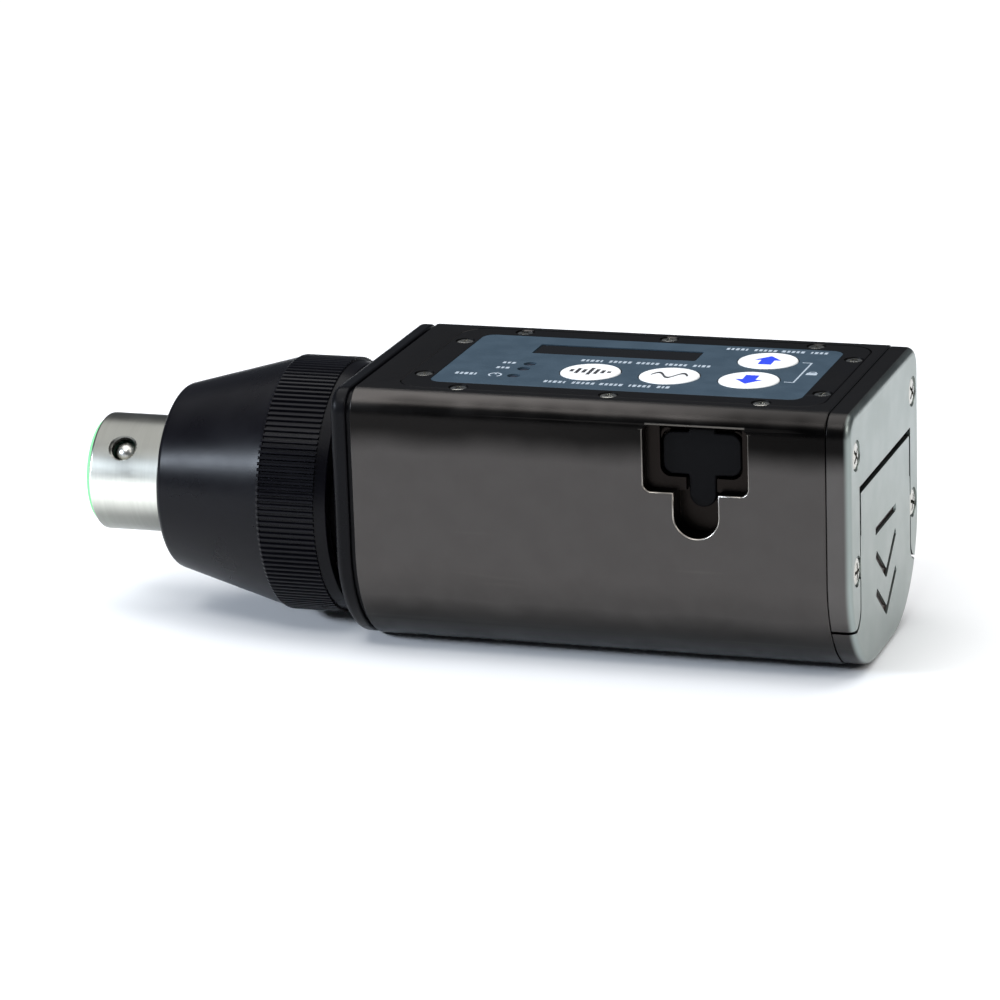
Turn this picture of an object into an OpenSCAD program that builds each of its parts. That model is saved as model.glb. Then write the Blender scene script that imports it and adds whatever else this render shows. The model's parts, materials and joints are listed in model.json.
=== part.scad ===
// Plug-on wireless microphone transmitter: a D-section metal body with a control panel on top,
// a sliding battery door at one end and a sprung, knurled XLR coupler at the other.
// Every module works in the connector's frame: x = 0 where the insulator meets the housing,
// y = 0 and z = 0 on the connector axis. place() lifts that onto the resting flat.

/* [Body] */
// Length of the machined housing, without the end cap
body_len = 74.7; // [74:0.1:110]
// Width of the body
body_w = 46; // [44:0.1:60]
// Height of the connector axis above the resting flat
axis_height = 21.5; // [21:0.1:27]
// Height of the panel face above the connector axis
face_height = 21.8; // [21:0.1:27]
// Side wall thickness
wall = 2; // [1.4:0.1:2.4]
// Thickness of the housing's connector end wall
end_wall = 3; // [2:0.1:4]
// Thickness of the roof that carries the panel
roof_t = 3.8; // [3.2:0.1:4.4]
// Radius of the long edges beside the panel
corner_r = 3.8; // [2.8:0.1:5]
// Radius of the long edges of the rounded back
back_r = 17.5; // [16.5:0.1:19]
// Thickness of the end cap and its door
cap_t = 3.7; // [3.4:0.1:5]
// Thickness of the plastic insulator plate
insulator_t = 3.4; // [2.5:0.1:5]

/* [Control panel] */
// Thickness of the panel plate
panel_t = 1.2; // [1:0.1:1.6]
// Housing left showing at the connector end of the panel
panel_left = 5.8; // [4.5:0.1:8]
// Housing left showing at the door end of the panel
panel_right = 1.9; // [1.5:0.1:4]
// Housing left showing along each side of the panel
panel_rim = 1; // [0.6:0.1:1.4]
// Thickness of the printed overlay
overlay_t = 0.3; // [0.2:0.05:0.4]
// Diameter of each push button
button_d = 9.4; // [8:0.1:10]
// Travel of each push button
button_travel = 0.4; // [0.2:0.05:0.45]
// Diameter of each indicator lens
led_d = 1.8; // [1.4:0.1:2.2]

/* [Coupler] */
// Diameter of the connector barrel
barrel_d = 18.8; // [17.5:0.1:20]
// Diameter over the knurled band
knurl_d = 40.7; // [39.5:0.1:41.5]
// Width of the knurled band
knurl_w = 9.1; // [6:0.1:10.5]
// Length of the cone ahead of the knurled band
cone_len = 19.4; // [17:0.1:24]
// Diameter of the cone's small end
cone_d = 29.4; // [28:0.1:32]
// Length of barrel that stands out of the cone
barrel_out = 13.6; // [12:0.1:17]
// Distance the coupler retracts
coupler_travel = 2.2; // [1:0.1:2.2]

/* [Port and battery] */
// Width of the recess around the side port
pocket_w = 16.2; // [15:0.1:18]
// Depth of that recess
pocket_depth = 2; // [1.5:0.1:2.2]
// Width of the finger slot below it
slot_w = 6.9; // [6:0.1:8]
// Diameter of one battery cell
cell_d = 14.2; // [13.5:0.1:14.5]
// Length of one battery cell
cell_len = 50.2; // [44:0.1:50.5]

/* [Hidden] */
$fn = 72;

slack = 0.01;                                  // overshoot that keeps cuts clean
half_w = body_w / 2;
face_z = face_height;
back_z = -axis_height;
flat_half = half_w - corner_r;
cap_x = body_len;
cap_inset = 0.15;                              // the end cap sits this far inside the housing's outline
roof_z = face_z - roof_t;

// control panel
panel_x0 = panel_left;
panel_x1 = body_len - panel_right;
panel_half = flat_half - panel_rim;
panel_z = face_z - panel_t;
panel_gap = 0.15;
panel_corner = 4;
overlay_margin = [4.2, 4, 3.6];                // connector end, door end, sides
overlay_x0 = panel_x0 + overlay_margin[0];
overlay_x1 = panel_x1 - overlay_margin[1];
overlay_half = panel_half - overlay_margin[2];
overlay_corner = 2;
opening_x0 = panel_x0 + 5.2;
opening_x1 = panel_x1 - 4.6;
opening_half = panel_half - 3.3;
window_size = [26.3, 5.4];
window_c = [overlay_x0 + 24, 7.4];
window_lip = 0.8;
button_gap = 0.15;
button_proud = 0.15;
flange_over = 0.55;
flange_t = 0.6;
audio_c = [overlay_x0 + 23.2, -4.8];
freq_c = [overlay_x0 + 35.8, -4.8];
up_c = [overlay_x1 - 10.4, 6.7];
down_c = [overlay_x1 - 10.4, -4.9];
button_centres = [audio_c, freq_c, up_c, down_c];
led_high_c = [overlay_x0 + 12.5, -1.8];
led_low_c = [overlay_x0 + 12.4, -4.8];
led_power_c = [overlay_x0 + 12.1, -9];
led_centres = [led_high_c, led_low_c, led_power_c];
panel_row_x = [panel_x0 + 10, (panel_x0 + panel_x1 + 0.7) / 2, panel_x1 - 9.3];
panel_row_y = panel_half - 1.2;
panel_end_x = [panel_x0 + 2.2, panel_x1 - 1.6];
panel_end_y = 10.1;
panel_screw_at = concat(
    [for (x = panel_row_x, s = [-1, 1]) [x, s * panel_row_y]],
    [for (x = panel_end_x, s = [-1, 1]) [x, s * panel_end_y]]);
small_screw = [0.75, 1.6, 1];                  // shaft radius, head radius, head depth
hole_gap = 0.05;

// control board under the panel
board_t = 1.2;
board_z = face_z - 6.2;
board_x0 = opening_x0 + 1;
board_x1 = opening_x1 - 1.2;
board_half = opening_half - 0.5;
standoff_at = [for (x = [board_x0 + 2, board_x1 - 2], s = [-1, 1]) [x, s * (board_half - 1.9)]];
standoff_r = 1.5;
flange_z = panel_z - 0.1 - flange_t;
plunger_gap = 0.1;
switch_top = flange_z - button_travel - plunger_gap;

// end cap and battery door
leg_w = 6.1;
bridge_z = face_z - 12.35;
leg_z = face_z - 34;
door_half = half_w - leg_w - 0.5;
door_gap = 0.5;
door_top_gap = 0.75;
leg_round = 3.2;
tongue = [0.9, 0.9, 0.9];                      // depth in from the housing, thickness, reach
tongue_gap = 0.2;
end_screw_y = half_w - 4.4;
end_screw_z = [face_z - 7, face_z - 25];
end_screw = [1, 2.15, 1.7];
end_screw_len = 9;
post_r = 2.6;
post_len = 10;

// battery
cell_r = cell_d / 2;
tunnel_r = cell_r + 0.35;
cell_y = tunnel_r + 0.15;
tray_gap = 0.2;
tray_skin = 0.6;
back_arc = back_r - wall - tray_gap - tray_skin - tunnel_r;
cell_z = back_z + back_r - sqrt(back_arc * back_arc - pow(max(0, cell_y - (half_w - back_r)), 2));
tray_top = cell_z + tunnel_r + 0.9;
cell_x1 = body_len - 0.2;
cell_x0 = cell_x1 - cell_len;
nub = [2.75, 1.2];
tray_x0 = cell_x0 - 5.1;
contact_board_t = 1.6;

// main board over the battery tray
main_z = tray_top;
main_x0 = 12;
main_x1 = body_len - post_len - 0.7;
main_half = half_w - wall - 1;
main_screw_at = [for (x = [main_x0 + 10, main_x1 - 4]) [x, 0]];

// side port
port_x = body_len - 20.05;
pocket_top = face_z - 2.7;
pocket_low = pocket_top - 10.4;
slot_r = slot_w / 2;
slot_z = pocket_low - 3.55;
pocket_y = -half_w + pocket_depth;
cover_pocket_y = pocket_y + 2.5;
slot_y = pocket_y + 1.7;
boss_y = cover_pocket_y + 1;
cover_x = port_x + 0.5;
cover_size = [12.2, 6.6];
cover_z0 = pocket_low + 2.3;
cover_gap = 0.3;
cover_face_y = pocket_y + 0.5;
cover_t = 1.9;
hinge_r = 0.45;
hinge_z = cover_z0 + cover_size[1] + 0.35;
hinge_y = cover_face_y + hinge_r;
stem = [4.2, 5];                               // width, drop below the cover
stem_t = 1;
socket_size = [7.9, 3.9];
socket_z = cover_z0 + 3.2;
port_board_y = cover_pocket_y + 3.9;

// coupler
barrel_r = barrel_d / 2;
barrel_bore = barrel_r - 1.4;
shank_r = barrel_r - 0.4;
barrel_x1 = -insulator_t - 1.6;
tail_r = barrel_r - 0.5;
tail_x1 = end_wall + 4.2;
fit_gap = 0.05;
slide_gap = 0.08;
neck_len = coupler_travel + 2.15;
knurl_r = knurl_d / 2;
rear_chamfer = [1.9, 0.95];
sleeve_x1 = -insulator_t - coupler_travel - 0.3;
knurl_x1 = sleeve_x1 - rear_chamfer[0];
knurl_x0 = knurl_x1 - knurl_w;
cone_big_r = knurl_r - 0.25;
cone_x0 = knurl_x0 - cone_len;
cone_r = cone_d / 2;
cone_round = 1.2;
front_wall = 3;
guide_r = barrel_r + 2;
spring_room_r = knurl_r - 2.95;
shoulder_x = cone_x0 + 12.4;
flange_x = -insulator_t - neck_len;
flange_w = 1.75;
flange_r = spring_room_r - 0.5;
neck_r = flange_r - 1.7;
ring_r = [neck_r + 0.4, spring_room_r + 0.9];
ring_w = 0.9;
ring_x = flange_x + 0.15;
run_gap = 0.3;
barrel_x0 = cone_x0 - barrel_out;
insert_flange = [0.7, barrel_r - 0.7];         // thickness, radius
rim = [0.8, 0.5];                              // bevel length, bevel depth
contact_pcr = 3.81;
contact_r = 2;
contact_bore = 1.22;
contact_depth = 10.7;
insert_len = 12;
latch_angle = 40;                              // of the latch ball above the near side
latch_x = barrel_x0 + 5.4;
ball_r = 1.8;
ball_hole_r = 2;
ball_in = barrel_r - 0.6 - ball_r;             // radius of the ball's centre at rest
spring_wire = 0.7;
washer_t = 0.8;

overall_x0 = barrel_x0 - insert_flange[0];
overall_x1 = cap_x + cap_t;

// ---- placing and shaping helpers ----

module place() translate([-(overall_x0 + overall_x1) / 2, 0, axis_height]) children();

// A (y, z) outline extruded from x0 along +X
module along_x(x0, len) translate([x0, 0, 0]) rotate([90, 0, 90]) linear_extrude(len) children();

// An (x, z) outline extruded from y0 along +Y
module along_y(y0, len) translate([0, y0 + len, 0]) rotate([90, 0, 0]) linear_extrude(len) children();

module span(x0, x1, y0, y1) translate([x0, y0]) square([x1 - x0, y1 - y0]);

module block(x, y, z) translate([x[0], y[0], z[0]]) cube([x[1] - x[0], y[1] - y[0], z[1] - z[0]]);

module rod_x(x0, len, r) translate([x0, 0, 0]) rotate([0, 90, 0]) cylinder(h = len, r = r);

// Points are [radius, x]
module turned(points) rotate([0, 90, 0]) rotate_extrude($fn = 120) polygon(points);

module rounded(x0, x1, y0, y1, r) {
    span(x0 + r, x1 - r, y0, y1);
    span(x0, x1, y0 + r, y1 - r);
    for (x = [x0 + r, x1 - r], y = [y0 + r, y1 - r]) translate([x, y]) circle(r);
}

// The body's D-shaped cross-section, in (y, z)
module body_outline(inset = 0) {
    hw = half_w - inset;
    rt = corner_r - inset;
    rb = back_r - inset;
    zt = face_z - inset;
    zb = back_z + inset;
    span(-hw, hw, zb + rb, zt - rt);
    span(-hw + rt, hw - rt, zb + rb, zt);
    span(-hw + rb, hw - rb, zb, zb + rb);
    for (s = [-1, 1]) {
        translate([s * (hw - rt), zt - rt]) circle(rt);
        intersection() {
            translate([s * (hw - rb), zb + rb]) circle(rb, $fn = 144);
            span(-hw, hw, zb, zb + rb);
        }
    }
}

module cavity_outline() intersection() {
    body_outline(wall);
    span(-half_w, half_w, back_z, roof_z);
}

// Screw with a countersunk head whose top is at z = 0, pointing down, cross-slotted
module screw(size, len) difference() {
    union() {
        translate([0, 0, -size[2]]) cylinder(h = size[2], r1 = size[0], r2 = size[1], $fn = 32);
        translate([0, 0, -len]) cylinder(h = len - size[2] / 2, r = size[0], $fn = 32);
    }
    for (a = [45, 135]) rotate(a)
        translate([-size[1] * 0.6, -size[1] * 0.12, -size[2] * 0.5])
            cube([size[1] * 1.2, size[1] * 0.24, size[2]]);
}

module screw_hole(size, len) {
    translate([0, 0, -size[2]])
        cylinder(h = size[2] + slack, r1 = size[0] + hole_gap, r2 = size[1] + 0.1, $fn = 32);
    translate([0, 0, -len]) cylinder(h = len, r = size[0] + hole_gap, $fn = 32);
}

// Closed tube of radius r through a list of points
function unit(v) = v / norm(v);
function tangent(p, i) = unit(p[min(i + 1, len(p) - 1)] - p[max(i - 1, 0)]);
function side(t) = unit(cross(t, abs(t[2]) > 0.9 ? [0, 1, 0] : [0, 0, 1]));
module tube(p, r, sides = 8) {
    n = len(p);
    rings = [for (i = [0:n - 1]) let (t = tangent(p, i), u = side(t), v = cross(t, u))
        for (k = [0:sides - 1]) p[i] + r * (cos(360 * k / sides) * u + sin(360 * k / sides) * v)];
    walls = [for (i = [0:n - 2], k = [0:sides - 1]) let (a = i * sides, b = (k + 1) % sides)
        [a + k, a + sides + k, a + sides + b, a + b]];
    ends = [[for (k = [0:sides - 1]) k], [for (k = [sides - 1:-1:0]) (n - 1) * sides + k]];
    polyhedron(rings, concat(walls, ends), convexity = 8);
}

// Compression spring along +X from x0 to x1 between radii r0 and r1
function coil(x0, x1, r0, r1, turns, steps = 20) = [for (i = [0:turns * steps])
    let (f = i / (turns * steps), a = 360 * i / steps, r = r0 + (r1 - r0) * f)
    [x0 + (x1 - x0) * f, r * cos(a), r * sin(a)]];

// ---- housing and end cap ----

// Recess round the port cover, in (x, z)
module pocket_outline() {
    rounded(port_x - pocket_w / 2, port_x + pocket_w / 2, pocket_low, pocket_top, 1.2);
    span(port_x - slot_r, port_x + slot_r, slot_z, pocket_low + 1.5);
    translate([port_x, slot_z]) circle(slot_r);
}

module finger_slot_outline() {
    span(port_x - slot_r, port_x + slot_r, slot_z, pocket_low);
    translate([port_x, slot_z]) circle(slot_r);
}

module cover_outline(grow = 0) {
    rounded(cover_x - cover_size[0] / 2 - grow, cover_x + cover_size[0] / 2 + grow,
        cover_z0 - grow, cover_z0 + cover_size[1] + grow, 1.7);
}

module port_boss()
    block([port_x - 10, port_x + 10], [-half_w + wall - 0.5, boss_y], [slot_z - slot_r - 1.1, roof_z]);

module port_cuts() {
    along_y(-half_w - 1, pocket_depth + 1) pocket_outline();
    along_y(-half_w - 1, slot_y + half_w + 1) finger_slot_outline();
    along_y(pocket_y - slack, cover_pocket_y - pocket_y) cover_outline(cover_gap);
    block([cover_x - stem[0] / 2 - cover_gap, cover_x + stem[0] / 2 + cover_gap], [pocket_y - slack, slot_y],
        [pocket_low - 1, cover_z0]);
    block([cover_x - 2.35, cover_x + 2.35], [pocket_y - slack, hinge_y + hinge_r + 0.3],
        [cover_z0 + 1, hinge_z + hinge_r + 0.2]);
    block([cover_x - cover_size[0] / 2 - cover_gap, cover_x + cover_size[0] / 2 + cover_gap],
        [pocket_y - slack, hinge_y], [cover_z0 + 4, hinge_z + hinge_r + 0.2]);
    block([port_x - socket_size[0] / 2 - 0.15, port_x + socket_size[0] / 2 + 0.15],
        [cover_pocket_y - 1, boss_y + 1],
        [socket_z - socket_size[1] / 2 - 0.15, socket_z + socket_size[1] / 2 + 0.15]);
}

module end_posts() for (s = [-1, 1], z = end_screw_z)
    translate([0, s * end_screw_y, z]) rod_x(body_len - post_len, post_len, post_r);

module housing() color("#57534f") difference() {
    union() {
        difference() {
            along_x(0, body_len) body_outline();
            along_x(end_wall, body_len) cavity_outline();
        }
        port_boss();
        intersection() {
            end_posts();
            along_x(0, body_len) body_outline(wall / 2);
        }
    }
    rod_x(-1, end_wall + 2, tail_r + fit_gap);
    translate([0, 0, panel_z]) linear_extrude(panel_t + 1)
        rounded(panel_x0 - panel_gap, panel_x1 + panel_gap, -panel_half - panel_gap, panel_half + panel_gap,
            panel_corner + panel_gap);
    block([opening_x0, opening_x1], [-opening_half, opening_half], [roof_z - 1, face_z]);
    port_cuts();
    for (p = panel_screw_at) translate([p[0], p[1], face_z]) screw_hole(small_screw, roof_t + 1);
    for (s = [-1, 1], z = end_screw_z)
        translate([0, s * end_screw_y, z])
            rod_x(body_len - end_screw_len, end_screw_len + 1, end_screw[0] + hole_gap);
}

module insulator_plate() color("#1b1b1e") difference() {
    along_x(-insulator_t, insulator_t) body_outline(cap_inset);
    rod_x(-insulator_t - 1, insulator_t + 2, tail_r + fit_gap);
}

// Region of the end plane that the door fills, in (y, z); grow widens it by the running gap
module door_outline(grow = 0) {
    foot = leg_z - door_gap + grow;
    wing = door_half + grow + leg_round;
    span(-door_half - grow, door_half + grow,
        back_z - 1, bridge_z - door_top_gap + grow * door_top_gap / door_gap);
    difference() {
        span(-half_w - 1, half_w + 1, back_z - 1, foot + leg_round);
        for (s = [-1, 1]) {
            translate([s * wing, foot + leg_round]) circle(leg_round);
            span(s > 0 ? wing : -half_w - 2, s > 0 ? half_w + 2 : -wing, foot, foot + leg_round + 1);
        }
    }
}

module end_frame() color("#aeb4b2") difference() {
    along_x(cap_x, cap_t) difference() {
        body_outline(cap_inset);
        door_outline(door_gap);
    }
    for (s = [-1, 1]) {
        groove = s * (door_half + door_gap + tongue[2] / 2);
        block([cap_x + tongue[0] - tongue_gap, cap_x + tongue[0] + tongue[1] + tongue_gap],
            [groove - tongue[2] / 2 - 0.3, groove + tongue[2] / 2 + 0.3],
            [leg_z - 2, bridge_z - door_top_gap]);
    }
    for (s = [-1, 1], z = end_screw_z)
        translate([cap_x + cap_t, s * end_screw_y, z]) rotate([0, 90, 0]) screw_hole(end_screw, cap_t + 1);
}

module end_frame_screws() color("silver") for (s = [-1, 1], z = end_screw_z)
    translate([cap_x + cap_t, s * end_screw_y, z]) rotate([0, 90, 0])
        screw(end_screw, cap_t + end_screw_len - 0.5);

module chevron(z) for (s = [-1, 1]) translate([0, z]) rotate(s * 37.5)
    span(min(0, s * 8.2), max(0, s * 8.2), -0.65, 0.65);

// Engraved bar and arrows that show which way the door slides
module door_marks() {
    span(-6.8, 6.8, -1.1, 0.1);
    chevron(-9.2);
    chevron(-15.2);
}

module battery_door() color("#aeb4b2") difference() {
    union() {
        along_x(cap_x + 0.05, cap_t - 0.05) intersection() {
            body_outline(cap_inset);
            door_outline();
        }
        for (s = [-1, 1]) {
            rail_y = s * (door_half + tongue[2] / 2);
            block([cap_x + tongue[0], cap_x + tongue[0] + tongue[1]],
                [rail_y - tongue[2] / 2 - 0.1, rail_y + tongue[2] / 2 + 0.1],
                [leg_z, bridge_z - door_top_gap - 1]);
        }
    }
    along_x(cap_x + cap_t - 0.6, 1) door_marks();
    block([cap_x, cap_x + 0.6], [-cell_y - 6.1, cell_y + 6.1], [cell_z - 4.1, cell_z + 4.1]);
}

module door_contact() color("gold") difference() {
    block([cap_x + 0.1, cap_x + 0.6], [-cell_y - 6, cell_y + 6], [cell_z - 4, cell_z + 4]);
    block([cap_x, cap_x + 1], [-1.5, 1.5], [cell_z - 1, cell_z + 1]);
}

// ---- control panel ----

module window_hole(grow) translate([window_c[0], window_c[1]])
    span(-window_size[0] / 2 - grow, window_size[0] / 2 + grow,
        -window_size[1] / 2 - grow, window_size[1] / 2 + grow);

module panel_openings() {
    window_hole(0.1);
    for (p = button_centres) translate(p) circle(button_d / 2 + button_gap);
    for (p = led_centres) translate(p) circle(led_d / 2 + 0.1, $fn = 32);
}

module panel_plate() color("#17181a") difference() {
    translate([0, 0, panel_z]) linear_extrude(panel_t) difference() {
        rounded(panel_x0, panel_x1, -panel_half, panel_half, panel_corner);
        panel_openings();
    }
    translate([0, 0, face_z - overlay_t]) linear_extrude(1)
        rounded(overlay_x0 - 0.05, overlay_x1 + 0.05, -overlay_half - 0.05, overlay_half + 0.05,
            overlay_corner + 0.05);
    for (p = panel_screw_at) translate([p[0], p[1], face_z]) screw_hole(small_screw, panel_t + 1);
}

module panel_overlay() color("#465869") translate([0, 0, face_z - overlay_t])
    linear_extrude(overlay_t) difference() {
        rounded(overlay_x0, overlay_x1, -overlay_half, overlay_half, overlay_corner);
        panel_openings();
    }

module panel_screws() color("silver") for (p = panel_screw_at)
    translate([p[0], p[1], face_z]) screw(small_screw, roof_t + 0.5);

module display_window() color("#101012") {
    translate([0, 0, panel_z]) linear_extrude(panel_t - 0.1) window_hole(0);
    translate([0, 0, panel_z - 0.4]) linear_extrude(0.4) window_hole(window_lip);
}

module display_module() color("#2c3a30") {
    deck = board_z + board_t;
    block([window_c[0] - 14.2, window_c[0] + 14.2], [window_c[1] - 3.8, window_c[1] + 3.8],
        [deck, panel_z - 0.5]);
}

module led(p) translate([p[0], p[1], board_z + board_t])
    cylinder(h = face_z - 0.1 - board_z - board_t, r = led_d / 2, $fn = 32);
module level_led_high() color("#243a5a") led(led_high_c);
module level_led_low() color("#243a5a") led(led_low_c);
module power_led() color("#243a5a") led(led_power_c);

module button(p) color("white") translate([p[0], p[1], 0]) {
    translate([0, 0, flange_z]) cylinder(h = face_z + button_proud - flange_z, r = button_d / 2);
    translate([0, 0, flange_z]) cylinder(h = flange_t, r = button_d / 2 + flange_over);
}
module audio_button() button(audio_c);
module freq_button() button(freq_c);
module up_button() button(up_c);
module down_button() button(down_c);

// ---- boards ----

module control_board() color("#1f5c3a") translate([0, 0, board_z]) linear_extrude(board_t) difference() {
    rounded(board_x0, board_x1, -board_half, board_half, 1);
    for (p = standoff_at) translate(p) circle(small_screw[0] + hole_gap, $fn = 32);
}

module dome_switches() color("silver") for (p = button_centres) {
    base_z = board_z + board_t;
    translate([p[0], p[1], base_z]) cylinder(h = switch_top - 0.45 - base_z, r = 3);
    translate([p[0], p[1], switch_top - 0.45]) cylinder(h = 0.45, r = 1.4);
}

module board_standoffs() color("gold") for (p = standoff_at)
    translate([p[0], p[1], board_z + board_t]) difference() {
        cylinder(h = panel_z - board_z - board_t, r = standoff_r, $fn = 32);
        translate([0, 0, -1]) cylinder(h = 3.2, r = small_screw[0] + hole_gap, $fn = 32);
    }

module board_screws() color("silver") for (p = standoff_at) translate([p[0], p[1], board_z]) {
    translate([0, 0, -0.9]) cylinder(h = 0.9, r = small_screw[1], $fn = 32);
    translate([0, 0, -0.5]) cylinder(h = board_t + 2.2, r = small_screw[0], $fn = 32);
}

module main_board() color("#1f5c3a") translate([0, 0, main_z]) linear_extrude(board_t) difference() {
    rounded(main_x0, main_x1, -main_half, main_half, 1);
    for (p = main_screw_at) translate(p) circle(small_screw[0] + hole_gap, $fn = 32);
}

module main_board_screws() color("silver") for (p = main_screw_at) translate([p[0], p[1], main_z + board_t]) {
    cylinder(h = 0.9, r = small_screw[1], $fn = 32);
    translate([0, 0, -board_t - 0.7]) cylinder(h = board_t + 1, r = small_screw[0], $fn = 32);
}

module shield_can() color("silver") translate([main_x0 + 15, -12, main_z + board_t]) difference() {
    cube([22, 24, 4.5]);
    translate([0.5, 0.5, -0.5]) cube([21, 23, 4.5]);
}

// Chips, coils and capacitors on the main board
module board_parts() color("#2a2a2a") translate([0, 0, main_z + board_t]) {
    block([main_x0 + 1, main_x0 + 6], [8, 15], [0, 1.6]);
    block([main_x0 + 1, main_x0 + 5], [-15, -10], [0, 1.2]);
    block([main_x1 - 10, main_x1 - 4], [8, 16], [0, 2]);
    for (y = [-15.5, 15.5]) translate([main_x0 + 12, y, 0]) cylinder(h = 5, r = 2.4);
    for (k = [0:2]) translate([main_x0 + 18 + 6 * k, 16, 0]) cylinder(h = 3, r = 1.8);
}

// Flat cable folded from the main board up to the control board
module flex_cable() color("#b5832e") {
    x = main_x1 - 2.2;
    top = board_z;
    low = main_z + board_t;
    along_y(-12, 8) union() {
        span(x - 6, x, low, low + 0.3);
        span(x, x + 0.3, low, top);
        span(x - 4, x + 0.3, top - 0.3, top);
    }
}

// ---- battery ----

module battery_tray() color("#26262a") difference() {
    along_x(tray_x0, body_len - 0.3 - tray_x0) intersection() {
        body_outline(wall + tray_gap);
        span(-half_w, half_w, back_z, tray_top);
    }
    for (s = [-1, 1]) translate([0, s * cell_y, cell_z]) rod_x(tray_x0 - 1, body_len, tunnel_r);
    for (s = [-1, 1]) translate([0, s * end_screw_y, end_screw_z[1]])
        rod_x(body_len - post_len - 0.3, post_len + 1, post_r + 0.3);
    for (p = main_screw_at) translate([p[0], p[1], tray_top - 1.2])
        cylinder(h = 2, r = small_screw[0] + hole_gap, $fn = 32);
}

// A round cell lying along X; flip turns its nub towards the connector
module cell(s, flip) translate([flip ? cell_x0 : cell_x1, s * cell_y, cell_z]) mirror([flip ? 0 : 1, 0, 0]) {
    rod_x(nub[1], cell_len - nub[1], cell_r);
    rod_x(0, nub[1] + 0.1, nub[0]);
}
module battery_cell_near() color("#b98a3c") cell(-1, false);
module battery_cell_far() color("#b98a3c") cell(1, true);

module contact_board() color("#1f5c3a") along_x(tray_x0 - contact_board_t, contact_board_t)
    rounded(-cell_y - 5.6, cell_y + 5.6, cell_z - 5.6, tray_top - 0.6, 1);

module contact_springs() color("gold") for (s = [-1, 1]) translate([0, s * cell_y, cell_z]) {
    rod_x(tray_x0, 0.4, 5);
    tube(coil(tray_x0 + 0.7, cell_x0 - 0.5, 4.4, 2.6, 3), 0.35);
}

// ---- side port ----

module port_cover() color("#121214") {
    stem_z = cover_z0 - stem[1] + stem[0] / 2;
    along_y(cover_face_y, cover_t) cover_outline();
    block([cover_x - stem[0] / 2, cover_x + stem[0] / 2], [cover_face_y, cover_face_y + stem_t],
        [stem_z, cover_z0 + 1]);
    translate([cover_x, 0, stem_z]) along_y(cover_face_y, stem_t) circle(stem[0] / 2);
    translate([cover_x - 2, hinge_y, hinge_z]) rotate([0, 90, 0]) cylinder(h = 4, r = hinge_r, $fn = 32);
    block([cover_x - 2, cover_x + 2], [cover_face_y, cover_face_y + 2 * hinge_r], [cover_z0 + 2, hinge_z]);
}

module port_socket() color("silver") difference() {
    block([port_x - socket_size[0] / 2, port_x + socket_size[0] / 2], [cover_pocket_y + 0.2, port_board_y],
        [socket_z - socket_size[1] / 2, socket_z + socket_size[1] / 2]);
    difference() {
        block([port_x - socket_size[0] / 2 + 0.35, port_x + socket_size[0] / 2 - 0.35],
            [cover_pocket_y, port_board_y - 0.6],
            [socket_z - socket_size[1] / 2 + 0.35, socket_z + socket_size[1] / 2 - 0.35]);
        block([port_x - 2.6, port_x + 2.6], [cover_pocket_y + 0.8, port_board_y],
            [socket_z - 0.4, socket_z + 0.4]);
    }
}

module port_board() color("#1f5c3a")
    block([port_x - 8, port_x + 8], [port_board_y, port_board_y + 1], [main_z + board_t, board_z - 0.2]);

// ---- coupler ----

module coupler_sleeve() color("#1d1d20") turned([
    [barrel_r + run_gap, cone_x0], [cone_r - cone_round, cone_x0], [cone_r, cone_x0 + cone_round],
    [cone_big_r, knurl_x0], [knurl_r, knurl_x0], [knurl_r, knurl_x1], [knurl_r - rear_chamfer[1], sleeve_x1],
    [spring_room_r, sleeve_x1], [spring_room_r, ring_x + ring_w + 0.05],
    [ring_r[1] + 0.1, ring_x + ring_w + 0.05], [ring_r[1] + 0.1, ring_x - 0.05],
    [spring_room_r, ring_x - 0.05], [spring_room_r, shoulder_x],
    [guide_r + slide_gap, shoulder_x], [guide_r + slide_gap, cone_x0 + front_wall],
    [barrel_r + run_gap, cone_x0 + front_wall]]);

module coupler_base() color("#1b1b1e") turned([
    [shank_r + fit_gap, cone_x0 + front_wall + coupler_travel + 0.3],
    [guide_r, cone_x0 + front_wall + coupler_travel + 0.3],
    [guide_r, flange_x - flange_w], [flange_r, flange_x - flange_w], [flange_r, flange_x], [neck_r, flange_x],
    [neck_r, -insulator_t], [tail_r + fit_gap, -insulator_t], [tail_r + fit_gap, barrel_x1 + fit_gap],
    [shank_r + fit_gap, barrel_x1 + fit_gap]]);

module snap_ring() color("silver") difference() {
    turned([[ring_r[0], ring_x], [ring_r[1], ring_x],
        [ring_r[1], ring_x + ring_w], [ring_r[0], ring_x + ring_w]]);
    block([ring_x - 1, ring_x + ring_w + 1], [-2, 2], [-ring_r[1] - 1, 0]);
}

module thrust_washer() color("silver") turned([
    [guide_r + run_gap, shoulder_x + 0.05], [spring_room_r - run_gap, shoulder_x + 0.05],
    [spring_room_r - run_gap, shoulder_x + washer_t], [guide_r + run_gap, shoulder_x + washer_t]]);

module coupler_spring() color("silver") {
    mid_r = (guide_r + spring_room_r) / 2;
    start = shoulder_x + washer_t + spring_wire + 0.05;
    end = flange_x - flange_w - spring_wire - 0.05;
    tube(coil(start, end, mid_r, mid_r, 5, 24), spring_wire);
}

module latch_way(x, r0, r1, r) translate([x, 0, 0]) rotate([-latch_angle, 0, 0])
    translate([0, -r0, 0]) rotate([90, 0, 0]) cylinder(h = r1 - r0, r = r, $fn = 40);

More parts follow.
